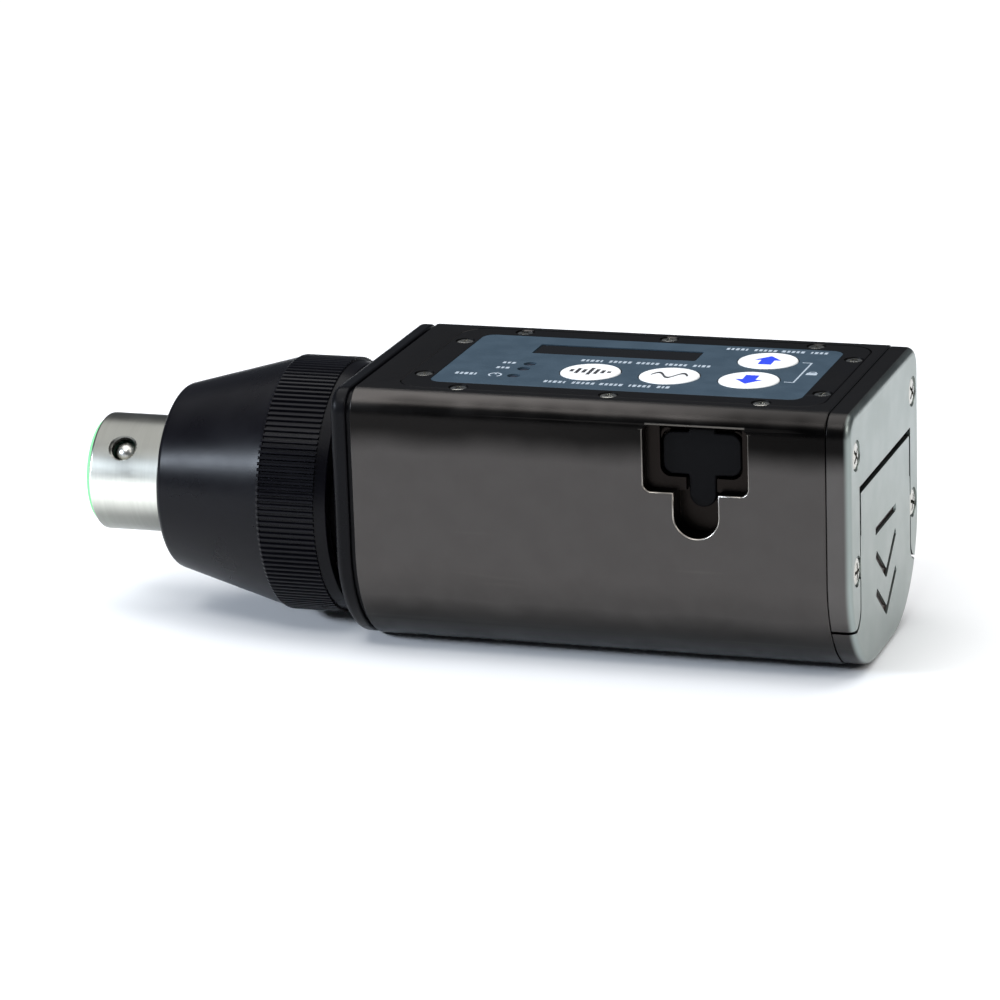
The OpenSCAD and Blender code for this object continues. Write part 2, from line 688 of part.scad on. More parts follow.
module barrel() color("#c9cbc4") difference() {
    turned([[barrel_bore, barrel_x0], [barrel_r - rim[1], barrel_x0], [barrel_r, barrel_x0 + rim[0]],
        [barrel_r, cone_x0], [shank_r, cone_x0], [shank_r, barrel_x1], [tail_r, barrel_x1], [tail_r, tail_x1],
        [barrel_bore - 0.5, tail_x1], [barrel_bore - 0.5, barrel_x0 + insert_len + 0.5],
        [barrel_bore, barrel_x0 + insert_len + 0.5]]);
    latch_way(latch_x, barrel_bore - 2, barrel_r + 2, ball_hole_r);
}

module barrel_nut() color("silver") difference() {
    translate([end_wall, 0, 0]) rotate([0, 90, 0]) cylinder(h = 3, r = tail_r + 3.2, $fn = 6);
    rod_x(end_wall - 1, 5, tail_r + fit_gap);
}

// Contact positions, turned so that the third contact lies opposite the latch
module at_contacts() for (a = [90, 180, 270])
    rotate([-latch_angle + a, 0, 0]) translate([0, -contact_pcr, 0]) children();

module xlr_insert() color("#9fe8b0") difference() {
    union() {
        rod_x(barrel_x0 - insert_flange[0], insert_flange[0], insert_flange[1]);
        rod_x(barrel_x0 - 0.1, insert_len + 0.1, barrel_bore - fit_gap);
    }
    at_contacts() {
        rod_x(barrel_x0 - insert_flange[0] - 1, insert_len, contact_bore + 0.4);
        rod_x(barrel_x0 + 0.3, insert_len, contact_r + fit_gap);
    }
    latch_way(latch_x, ball_in - ball_r - 0.3, barrel_r, ball_hole_r);
}

module xlr_contacts() color("gold") at_contacts() difference() {
    union() {
        rod_x(barrel_x0 + 0.35, contact_depth + 1, contact_r);
        rod_x(barrel_x0 + contact_depth, 5, 0.9);
    }
    rod_x(barrel_x0, contact_depth, contact_bore);
}

module latch_ball() color("#d8d8d4") rotate([-latch_angle, 0, 0])
    translate([latch_x, -ball_in, 0]) sphere(ball_r, $fn = 48);

// Wires from the contacts to the main board
module input_leads() color("#8a2a2a") for (k = [0:2]) {
    a = -latch_angle + 90 * (k + 1);
    start_y = -contact_pcr * cos(a);
    start_z = -contact_pcr * sin(a);
    end_y = 3 * (k - 1);
    tube([[barrel_x0 + contact_depth + 5, start_y, start_z], [barrel_x0 + 22, start_y, start_z],
        [-14, end_y, 1.5], [2, end_y, 1.5], [tail_x1 + 3, end_y, 1.2],
        [main_x0 + 1.5, end_y, main_z + board_t + 2.2], [main_x0 + 3, end_y, main_z + board_t + 0.7]], 0.45);
}

// Radio feed from the main board to the barrel nut
module antenna_lead() color("#c8a060")
    tube([[end_wall + 3, 10.6, -1], [end_wall + 5, 10.6, -1], [main_x0, 10.6, 0.6], [main_x0 + 8, 10.6, 0.6],
        [main_x0 + 9, 10.6, main_z + board_t + 0.7]], 0.4);

place() {
    housing();
    insulator_plate();
    end_frame();
    end_frame_screws();
    battery_door();
    door_contact();
    panel_plate();
    panel_overlay();
    panel_screws();
    display_window();
    display_module();
    level_led_high();
    level_led_low();
    power_led();
    audio_button();
    freq_button();
    up_button();
    down_button();
    control_board();
    dome_switches();
    board_standoffs();
    board_screws();
    main_board();
    main_board_screws();
    shield_can();
    board_parts();
    flex_cable();
    battery_tray();
    battery_cell_near();
    battery_cell_far();
    contact_board();
    contact_springs();
    port_cover();
    port_socket();
    port_board();
    coupler_sleeve();
    coupler_base();
    coupler_spring();
    thrust_washer();
    snap_ring();
    barrel();
    barrel_nut();
    xlr_insert();
    xlr_contacts();
    latch_ball();
    input_leads();
    antenna_lead();
}
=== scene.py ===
import bpy
import bmesh
import json
import math
from mathutils import Matrix, Vector


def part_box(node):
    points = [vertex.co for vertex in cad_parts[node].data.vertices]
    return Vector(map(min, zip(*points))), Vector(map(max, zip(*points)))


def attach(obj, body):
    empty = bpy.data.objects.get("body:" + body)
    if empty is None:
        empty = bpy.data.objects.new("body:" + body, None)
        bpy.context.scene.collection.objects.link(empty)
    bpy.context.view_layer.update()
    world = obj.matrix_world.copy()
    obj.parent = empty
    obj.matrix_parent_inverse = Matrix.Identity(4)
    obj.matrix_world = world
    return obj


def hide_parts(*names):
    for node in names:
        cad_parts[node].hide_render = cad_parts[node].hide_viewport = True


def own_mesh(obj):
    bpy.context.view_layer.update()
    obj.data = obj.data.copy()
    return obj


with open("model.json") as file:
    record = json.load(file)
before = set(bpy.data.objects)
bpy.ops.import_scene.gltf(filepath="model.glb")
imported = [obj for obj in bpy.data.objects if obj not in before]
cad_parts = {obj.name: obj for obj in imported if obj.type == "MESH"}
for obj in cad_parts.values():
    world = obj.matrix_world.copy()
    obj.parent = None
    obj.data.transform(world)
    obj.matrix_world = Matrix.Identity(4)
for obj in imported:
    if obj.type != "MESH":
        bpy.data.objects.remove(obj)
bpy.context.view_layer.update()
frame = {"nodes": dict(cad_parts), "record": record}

MM = 0.001

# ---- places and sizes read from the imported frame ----

body_low, body_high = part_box("housing")
cap_low, cap_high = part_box("end_frame")
plate_low, plate_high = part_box("insulator_plate")
barrel_low, barrel_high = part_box("barrel")
sleeve_low, sleeve_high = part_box("coupler_sleeve")
panel_low, panel_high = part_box("panel_plate")
overlay_low, overlay_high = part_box("panel_overlay")
window_low, window_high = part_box("display_window")

axis_z = (barrel_low.z + barrel_high.z) / 2
half_width = body_high.y
face_z = body_high.z
corner_radius = 3.8 * MM
back_radius = 17.5 * MM
port_low, port_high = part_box("port_socket")
port_middle = (port_low + port_high) / 2


def mm(*points):
    """Points given in millimetres."""
    return [tuple(value * MM for value in point) for point in points]


def middle(node):
    low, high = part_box(node)
    return (low + high) / 2


# ---- camera, floor and light ----

def aim_camera():
    yaw, tilt, roll = math.radians(18.37), math.radians(16.48), math.radians(-1.94)
    distance = 713.3 * MM
    target = Vector((2.33, 0, 20.34)) * MM
    level = math.cos(tilt)
    ahead = Vector((-math.sin(yaw) * level, math.cos(yaw) * level, -math.sin(tilt)))
    right = ahead.cross(Vector((0, 0, 1))).normalized()
    up = right.cross(ahead)
    camera_x = right * math.cos(roll) + up * math.sin(roll)
    camera_y = up * math.cos(roll) - right * math.sin(roll)
    turn = Matrix((camera_x, camera_y, -ahead)).transposed()
    data = bpy.data.cameras.new("studio_camera")
    data.lens = 163.1
    data.sensor_width = 36
    data.clip_start = 0.01
    camera = bpy.data.objects.new("studio_camera", data)
    camera.matrix_world = Matrix.Translation(target - ahead * distance) @ turn.to_4x4()
    bpy.context.scene.collection.objects.link(camera)
    bpy.context.scene.camera = camera


def soft_light(name, place, aim, size, power, tint):
    data = bpy.data.lights.new(name, "AREA")
    data.shape = "RECTANGLE"
    data.size = size[0]
    data.size_y = size[1]
    data.energy = power
    data.color = tint
    lamp = bpy.data.objects.new(name, data)
    lamp.location = place
    lamp.rotation_euler = (Vector(aim) - Vector(place)).to_track_quat("-Z", "Y").to_euler()
    bpy.context.scene.collection.objects.link(lamp)


def lay_floor():
    mesh = bpy.data.meshes.new("studio_floor")
    reach = 6
    corners = [(-reach, -reach, 0), (reach, -reach, 0), (reach, reach, 0), (-reach, reach, 0)]
    mesh.from_pydata(corners, [], [(0, 1, 2, 3)])
    floor = bpy.data.objects.new("studio_floor", mesh)
    bpy.context.scene.collection.objects.link(floor)
    mesh.materials.append(floor_paper())


def light_studio():
    """Dim surroundings with large lamps; what the camera sees past the floor is plain white."""
    world = bpy.data.worlds.new("pale_studio")
    world.use_nodes = True
    tree = world.node_tree
    dim = tree.nodes["Background"]
    dim.inputs["Color"].default_value = (0.8, 0.88, 1, 1)
    dim.inputs["Strength"].default_value = 0.12
    white = tree.nodes.new("ShaderNodeBackground")
    white.inputs["Color"].default_value = (1, 1, 1, 1)
    choose = tree.nodes.new("ShaderNodeMixShader")
    path = tree.nodes.new("ShaderNodeLightPath")
    tree.links.new(path.outputs["Is Camera Ray"], choose.inputs[0])
    tree.links.new(dim.outputs[0], choose.inputs[1])
    tree.links.new(white.outputs[0], choose.inputs[2])
    tree.links.new(choose.outputs[0], tree.nodes["World Output"].inputs["Surface"])
    scene = bpy.context.scene
    scene.world = world
    scene.view_settings.view_transform = "Standard"
    scene.view_settings.look = "None"
    soft_light("overhead_softbox", (0.0, 0.25, 1.5), (0, 0.1, 0), (2.6, 1.8), 31, (1, 1, 1))
    soft_light("front_softbox", (-0.15, -0.75, 1.15), (0, 0, 0.02), (0.7, 0.35), 5.5, (1, 1, 1))
    soft_light("right_softbox", (1.1, -0.45, 0.75), (0.05, 0, 0.02), (0.5, 0.5), 4.4, (1, 0.98, 0.95))
    soft_light("left_strip", (-0.8, -0.6, 0.42), (-0.045, 0, 0.02), (0.42, 0.11), 9.5, (0.78, 0.87, 1))


# ---- shader building blocks ----

class Nodes:
    """Short way to add and wire the nodes of one tree."""

    def __init__(self, tree):
        self.tree = tree

    def add(self, kind, wires=None, **settings):
        node = self.tree.nodes.new(kind)
        for key, value in settings.items():
            setattr(node, key, value)
        for socket, value in (wires or {}).items():
            self.plug(node.inputs[socket], value)
        return node

    def plug(self, socket, value):
        if isinstance(value, bpy.types.NodeSocket):
            self.tree.links.new(value, socket)
        else:
            socket.default_value = value

    def math(self, operation, first, second=0.0, clamp=False):
        wires = {0: first, 1: second}
        return self.add("ShaderNodeMath", wires, operation=operation, use_clamp=clamp).outputs[0]

    def times(self, first, second):
        return self.math("MULTIPLY", first, second)

    def split(self, vector):
        return self.add("ShaderNodeSeparateXYZ", {0: vector}).outputs

    def vector(self, x=0.0, y=0.0, z=0.0):
        return self.add("ShaderNodeCombineXYZ", {0: x, 1: y, 2: z}).outputs[0]

    def ramp(self, value, low, high, out_low=0.0, out_high=1.0):
        wires = {"Value": value, "From Min": low, "From Max": high, "To Min": out_low, "To Max": out_high}
        return self.add("ShaderNodeMapRange", wires, interpolation_type="SMOOTHSTEP").outputs["Result"]

    def clouded(self, cloud, low=0.0, high=1.0):
        """Stretches the middle values of a cloud noise over low to high."""
        return self.ramp(cloud, 0.3, 0.7, low, high)

    def blend(self, factor, first, second):
        node = self.add("ShaderNodeMix", data_type="RGBA")
        self.plug(node.inputs["Factor"], factor)
        self.plug(node.inputs[6], first)
        self.plug(node.inputs[7], second)
        return node.outputs[2]

    def group(self, tree, wires):
        node = self.add("ShaderNodeGroup", node_tree=tree)
        for label, value in wires.items():
            self.plug(node.inputs[label], value)
        return node.outputs


def new_group(name, inputs, outputs):
    tree = bpy.data.node_groups.new(name, "ShaderNodeTree")
    for label, kind, default in inputs:
        socket = tree.interface.new_socket(name=label, in_out="INPUT", socket_type=kind)
        if default is not None:
            socket.default_value = default
    for label, kind in outputs:
        tree.interface.new_socket(name=label, in_out="OUTPUT", socket_type=kind)
    nodes = Nodes(tree)
    return tree, nodes, nodes.add("NodeGroupInput"), nodes.add("NodeGroupOutput")


def make_grain():
    """Fine even grain: a height for bump and a broad cloud for tone."""
    tree, nodes, given, out = new_group("fine_grain", [
        ("Position", "NodeSocketVector", None), ("Per Metre", "NodeSocketFloat", 4000.0),
        ("Softness", "NodeSocketFloat", 0.6)],
        [("Height", "NodeSocketFloat"), ("Cloud", "NodeSocketFloat")])
    place, scale = given.outputs["Position"], given.outputs["Per Metre"]
    fine = nodes.add("ShaderNodeTexNoise", {"Vector": place, "Scale": scale, "Detail": 3.0,
                                            "Roughness": given.outputs["Softness"]})
    broad_scale = nodes.times(scale, 0.02)
    broad = nodes.add("ShaderNodeTexNoise", {"Vector": place, "Scale": broad_scale, "Detail": 4.0})
    nodes.plug(out.inputs["Height"], fine.outputs["Fac"])
    nodes.plug(out.inputs["Cloud"], broad.outputs["Fac"])
    return tree


def make_scratches():
    """Sparse hairline scratches along three directions."""
    tree, nodes, given, out = new_group("fine_scratches", [
        ("Position", "NodeSocketVector", None), ("Per Metre", "NodeSocketFloat", 900.0),
        ("Amount", "NodeSocketFloat", 0.5)],
        [("Mask", "NodeSocketFloat")])
    edge = nodes.math("SUBTRACT", 0.8, nodes.times(given.outputs["Amount"], 0.12))
    total = None
    for turn, stretch in ((0.9, 0.05), (1.7, 0.04), (-0.8, 0.06)):
        spot = nodes.add("ShaderNodeMapping", {"Vector": given.outputs["Position"],
                                               "Rotation": (0, turn, turn * 0.6), "Scale": (stretch, 1, 1)})
        noise = nodes.add("ShaderNodeTexNoise", {"Vector": spot.outputs[0], "Detail": 1.0, "Roughness": 0.4,
                                                 "Scale": given.outputs["Per Metre"]})
        line = nodes.ramp(noise.outputs["Fac"], edge, 0.86)
        total = line if total is None else nodes.math("MAXIMUM", total, line)
    nodes.plug(out.inputs["Mask"], total)
    return tree


def make_black_top():
    """Black finish above a height, worn thin along its border."""
    tree, nodes, given, out = new_group("black_top", [
        ("Position", "NodeSocketVector", None), ("Height", "NodeSocketFloat", 0.04),
        ("Wear", "NodeSocketFloat", 0.00006)],
        [("Mask", "NodeSocketFloat")])
    height = nodes.split(given.outputs["Position"])["Z"]
    ragged = nodes.add("ShaderNodeTexNoise", {"Vector": given.outputs["Position"], "Scale": 1500.0,
                                              "Detail": 3.0})
    wear = given.outputs["Wear"]
    shift = nodes.times(nodes.math("SUBTRACT", ragged.outputs["Fac"], 0.5), wear)
    low = nodes.math("SUBTRACT", given.outputs["Height"], wear)
    nodes.plug(out.inputs["Mask"], nodes.ramp(nodes.math("ADD", height, shift), low, given.outputs["Height"]))
    return tree


def make_painted_side_shade():
    """Painted shade and painted highlight on the plated sides: how bright they look at each height; the top
    edge and its band darken towards the cap.
    """
    tree, nodes, given, out = new_group("painted_side_shade", [
        ("Position", "NodeSocketVector", None), ("Face Height", "NodeSocketFloat", 0.043)],
        [("Painted Shade", "NodeSocketFloat")])
    along, _, height = nodes.split(given.outputs["Position"])
    fade = nodes.ramp(along, middle("housing").x - 20 * MM, body_high.x, 1.0, 0.35)
    cloud = nodes.add("ShaderNodeTexNoise", {"Vector": given.outputs["Position"], "Scale": 90.0,
                                             "Detail": 2.0})
    drift = nodes.times(nodes.math("SUBTRACT", cloud.outputs["Fac"], 0.5), 2.5 * MM)
    drop = nodes.math("SUBTRACT", given.outputs["Face Height"], nodes.math("ADD", height, drift))
    # Painted shade in a band under the top edge, a painted highlight on the rounded top edge, a lighter
    # painted sheen lower down and painted shade at the foot.
    under_edge_shade = nodes.ramp(drop, 5.2 * MM, 10 * MM, nodes.times(fade, 0.15), 1.0)
    edge = nodes.ramp(drop, 0.3 * MM, 2.3 * MM, nodes.times(fade, 0.95), 0.03)
    painted_sheen = nodes.ramp(drop, 14 * MM, 27 * MM, 0.0, 0.35)
    foot = nodes.ramp(drop, 29 * MM, 38.5 * MM, 1.0, 0.13)
    tone = nodes.times(nodes.math("ADD", nodes.math("ADD", under_edge_shade, edge), painted_sheen), foot)
    nodes.plug(out.inputs["Painted Shade"], tone)
    return tree


def make_box_mask():
    """One inside the box Low to High, fading out over Soft beyond it."""
    tree, nodes, given, out = new_group("box_mask", [
        ("Position", "NodeSocketVector", None), ("Low", "NodeSocketVector", None),
        ("High", "NodeSocketVector", None), ("Soft", "NodeSocketFloat", 0.0001)],
        [("Mask", "NodeSocketFloat")])
    here, low, high = [nodes.split(given.outputs[label])
                       for label in ("Position", "Low", "High")]
    soft = given.outputs["Soft"]
    total = None
    for axis in range(3):
        rise = nodes.ramp(here[axis], nodes.math("SUBTRACT", low[axis], soft), low[axis])
        fall = nodes.ramp(here[axis], high[axis], nodes.math("ADD", high[axis], soft), 1.0, 0.0)
        both = nodes.times(rise, fall)
        total = both if total is None else nodes.times(total, both)
    nodes.plug(out.inputs["Mask"], total)
    return tree


grain_group = make_grain()
scratch_group = make_scratches()
black_top_group = make_black_top()
painted_side_shade_group = make_painted_side_shade()
box_mask_group = make_box_mask()

BLACK_PAINT = (0.003, 0.0029, 0.0034, 1)
# Painted shade on the plated sides and on the barrel blends towards this black.
BLACK = (0, 0, 0, 1)
# Painted highlight for the port recess lip.
LIP_HIGHLIGHT = (0.42, 0.39, 0.35, 1)
# Painted shade inside the port recess.
PORT_RECESS_SHADE = (0.012, 0.01, 0.009, 1)
# Painted shade on the floors of the cap's engraved marks.
GROOVE_SHADE = (0.13, 0.1, 0.095, 1)


def start_material(name, metallic=0.0, coat=0.0, coat_roughness=0.1, specular=0.5):
    material = bpy.data.materials.new(name)
    material.use_nodes = True
    nodes = Nodes(material.node_tree)
    shader = material.node_tree.nodes["Principled BSDF"]
    shader.inputs["Metallic"].default_value = metallic
    shader.inputs["Coat Weight"].default_value = coat
    shader.inputs["Coat Roughness"].default_value = coat_roughness
    shader.inputs["Specular IOR Level"].default_value = specular
    place = nodes.add("ShaderNodeTexCoord").outputs["Object"]
    return material, nodes, shader, place


def use_grain(nodes, place, per_metre, softness=0.6):
    made = nodes.group(grain_group, {"Position": place, "Per Metre": per_metre, "Softness": softness})
    return made["Height"], made["Cloud"]


def use_scratches(nodes, place, per_metre, amount):
    wires = {"Position": place, "Per Metre": per_metre, "Amount": amount}
    return nodes.group(scratch_group, wires)["Mask"]


def add_bump(nodes, shader, height, strength, depth=0.01 * MM):
    bump = nodes.add("ShaderNodeBump", {"Height": height, "Strength": strength, "Distance": depth})
    nodes.plug(shader.inputs["Normal"], bump.outputs["Normal"])


def dress(nodes, shader, paint, rough, height, strength, depth=0.01 * MM):
    """Wires a finish's colour, roughness and bump."""
    nodes.plug(shader.inputs["Base Color"], paint)
    nodes.plug(shader.inputs["Roughness"], rough)
    add_bump(nodes, shader, height, strength, depth)


def shades(colour, spread):
    """A colour's darker and lighter neighbours."""
    dark = [c * (1 - spread) for c in colour[:3]] + [1]
    light = [min(1, c * (1 + spread)) for c in colour[:3]] + [1]
    return dark, light


def surface(name, colour, roughness, metallic=0.0, tone=0.12, grain=4000.0, bump=0.15, depth=0.02 * MM,
            scratches=0.0, scratch_colour=(0.6, 0.6, 0.6, 1), coat=0.0, specular=0.5, rough_spread=0.08):
    """Base finish shared by the plain materials: cloudy tone, grain, and optional scratches."""
    material, nodes, shader, place = start_material(name, metallic, coat, specular=specular)
    height, cloud = use_grain(nodes, place, grain)
    dark, light = shades(colour, tone)
    paint = nodes.blend(nodes.clouded(cloud), dark, light)
    rough = nodes.clouded(cloud, roughness - rough_spread, roughness + rough_spread)
    if scratches:
        marks = use_scratches(nodes, place, 900.0, scratches)
        paint = nodes.blend(nodes.times(marks, 0.5), paint, scratch_colour)
    dress(nodes, shader, paint, rough, height, bump, depth)
    return material


def plated_side(nodes, place, colour, spread, scratches):
    """Nickel plate on the body's sides, with painted shade and painted highlight by height, before any black
    finish.
    """
    height, cloud = use_grain(nodes, place, 9000.0, 0.55)
    dark, light = shades(colour, spread)
    plate = nodes.blend(nodes.clouded(cloud), dark, light)
    # Painted shade and painted highlight by height on the plated sides.
    tone = nodes.group(painted_side_shade_group, {"Position": place, "Face Height": face_z})["Painted Shade"]
    plate = nodes.blend(tone, BLACK, plate)
    marks = use_scratches(nodes, place, 500.0, scratches)
    plate = nodes.blend(nodes.times(marks, 0.04), plate, (0.6, 0.56, 0.5, 1))
    return height, cloud, plate


def finish_top(nodes, shader, place, plate, height, cloud, roughness, black_height):
    """Puts the black finish on the flat top and wires colour, metal, roughness and bump."""
    wires = {"Position": place, "Height": black_height, "Wear": 0.06 * MM}
    black = nodes.group(black_top_group, wires)["Mask"]
    nodes.plug(shader.inputs["Base Color"], nodes.blend(black, plate, BLACK_PAINT))
    nodes.plug(shader.inputs["Metallic"], nodes.math("SUBTRACT", 1.0, black))
    metal_rough = nodes.clouded(cloud, roughness - 0.04, roughness + 0.04)
    black_rough = nodes.times(black, 0.2)
    nodes.plug(shader.inputs["Roughness"], nodes.math("ADD", metal_rough, black_rough, clamp=True))
    add_bump(nodes, shader, height, 0.12)


def box_mask(nodes, place, low, high, soft):
    wires = {"Position": place, "Low": tuple(low), "High": tuple(high), "Soft": soft}
    return nodes.group(box_mask_group, wires)["Mask"]


def housing_metal(name):
    """Dark satin nickel with a black flat top, a painted highlight round the port recess lip and painted
    shade darkening the port recess's floor and walls.
    """
    material, nodes, shader, place = start_material(name, specular=0.1)
    height, cloud, plate = plated_side(nodes, place, (0.064, 0.0595, 0.057), 0.05, 0.5)
    port_half, port_depth, port_foot, port_head = 8.2 * MM, 9 * MM, 20.3 * MM, 2.6 * MM
    recess_low = Vector((port_middle.x - port_half, -half_width + 0.36 * MM, face_z - port_foot))
    recess_high = Vector((port_middle.x + port_half, -half_width + port_depth, face_z - port_head))
    # Painted shade: the port recess's walls and floor are painted near black.
    inside = box_mask(nodes, place, recess_low, recess_high, 0.12 * MM)
    # Painted highlight: a bright line round the recess lip and a thin one above the recess, fading towards
    # the top.
    lip_low = Vector((recess_low.x - 0.5 * MM, -half_width + 0.03 * MM, recess_low.z - 0.5 * MM))
    lip_high = Vector((recess_high.x + 0.5 * MM, -half_width + 0.24 * MM, face_z - 3.4 * MM))
    upper_low = Vector((lip_low.x + MM, -half_width + 0.19 * MM, face_z - 3.3 * MM))
    upper_high = Vector((lip_high.x - MM, -half_width + 0.38 * MM, face_z - 2.42 * MM))
    shine = nodes.ramp(nodes.split(place)["Z"], face_z - 19 * MM, face_z - 5 * MM, 1.0, 0.2)
    lip = box_mask(nodes, place, lip_low, lip_high, 0.02 * MM)
    upper = box_mask(nodes, place, upper_low, upper_high, 0.03 * MM)
    lip = nodes.times(nodes.math("MAXIMUM", lip, upper), shine)
    plate = nodes.blend(lip, plate, LIP_HIGHLIGHT)
    plate = nodes.blend(inside, plate, PORT_RECESS_SHADE)
    finish_top(nodes, shader, place, plate, height, cloud, 0.32, face_z - 0.03 * MM)
    return material


def cap_metal(name):
    """Pale satin end face that turns into the darker plated sides round its edge; the sides carry the painted
    shade and painted highlight by height, and the floors of the engraved marks get painted shade.
    """
    material, nodes, shader, place = start_material(name, specular=0.1)
    height, cloud, plate = plated_side(nodes, place, (0.088, 0.083, 0.08), 0.05, 0.4)
    along = nodes.split(place)["X"]
    outer = nodes.ramp(along, cap_high.x - 1.1 * MM, cap_high.x - 0.25 * MM)
    pale = nodes.blend(nodes.clouded(cloud), *shades((0.275, 0.31, 0.295), 0.03))
    plate = nodes.blend(outer, plate, pale)
    # Painted shade on the floors of the engraved marks.
    groove_low = Vector((cap_high.x - 0.8 * MM, -8 * MM, axis_z - 18 * MM))
    groove_high = Vector((cap_high.x - 0.5 * MM, 8 * MM, axis_z + MM))
    groove = box_mask(nodes, place, groove_low, groove_high, 0.1 * MM)
    plate = nodes.blend(groove, plate, GROOVE_SHADE)
    finish_top(nodes, shader, place, plate, height, cloud, 0.34, face_z - 0.2 * MM)
    return material


def mint_plastic(name):
    """Mint at the front lip, darker where the barrel shades it."""
    material, nodes, shader, place = start_material(name, specular=0.15)
    height, cloud = use_grain(nodes, place, 4000.0)
    along = nodes.split(place)["X"]
    deep = nodes.ramp(along, barrel_low.x - 0.05 * MM, barrel_low.x + 0.3 * MM)
    mint = nodes.blend(nodes.clouded(cloud), *shades((0.23, 0.7, 0.31), 0.03))
    paint = nodes.blend(deep, mint, (0.02, 0.045, 0.03, 1))
    dress(nodes, shader, paint, nodes.clouded(cloud, 0.36, 0.46), height, 0.05)
    return material


def barrel_metal(name):
    """Satin barrel with painted shade along its top and its underside, and faint turning marks."""
    material, nodes, shader, place = start_material(name, metallic=1.0)
    height, cloud = use_grain(nodes, place, 8000.0)
    rings = nodes.add("ShaderNodeMapping", {"Vector": place, "Scale": (1, 0.05, 0.05)}).outputs[0]
    turned = nodes.add("ShaderNodeTexNoise", {"Vector": rings, "Scale": 1800.0, "Detail": 2.0}).outputs["Fac"]
    level = nodes.split(place)["Z"]
    # Painted shade: the barrel is darker along its top and along its underside.
    upper = nodes.ramp(level, axis_z + 0.5 * MM, axis_z + 6.5 * MM, 1.0, 0.22)
    lower = nodes.ramp(level, axis_z - 5.5 * MM, axis_z - 0.5 * MM, 0.31, 1.0)
    uneven = nodes.ramp(nodes.math("ADD", turned, cloud), 0.7, 1.3, 0.92, 1.0)
    tone = nodes.times(nodes.times(upper, lower), uneven)
    plate = nodes.blend(tone, BLACK, (0.88, 0.885, 0.81, 1))
    dress(nodes, shader, plate, nodes.clouded(cloud, 0.3, 0.38), nodes.math("ADD", height, turned), 0.07)
    return material


def cell_wrap(name):
    """Printed sleeve in two plain colours, with bare tinned steel at both ends of the cell."""
    material, nodes, shader, place = start_material(name, metallic=0.9, coat=0.3)
    cell_low, cell_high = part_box("battery_cell_near")
    height, cloud = use_grain(nodes, place, 3000.0)
    along = nodes.split(place)["X"]
    middle_x = (cell_low.x + cell_high.x) / 2
    reach = nodes.math("ABSOLUTE", nodes.math("SUBTRACT", along, middle_x))
    half = (cell_high.x - cell_low.x) / 2
    bare = nodes.ramp(reach, half - 1.9 * MM, half - 1.8 * MM)
    band = nodes.ramp(along, middle_x + 10 * MM, middle_x + 10.1 * MM)
    wrap = nodes.blend(band, (0.02, 0.02, 0.022, 1), (0.45, 0.26, 0.07, 1))
    steel = nodes.blend(nodes.clouded(cloud), *shades((0.6, 0.6, 0.58), 0.06))
    dress(nodes, shader, nodes.blend(bare, wrap, steel), nodes.clouded(cloud, 0.24, 0.34), height, 0.05)
    return material


def floor_paper():
    return surface("floor_paper", (0.975, 0.98, 0.985), 0.7, tone=0.004, grain=300.0, bump=0.02,
                   depth=0.2 * MM, specular=0.2)


STEEL = dict(metallic=1.0, grain=6000.0, bump=0.1, tone=0.06)
BLACK_COUPLER = (0.0026, 0.0025, 0.004)

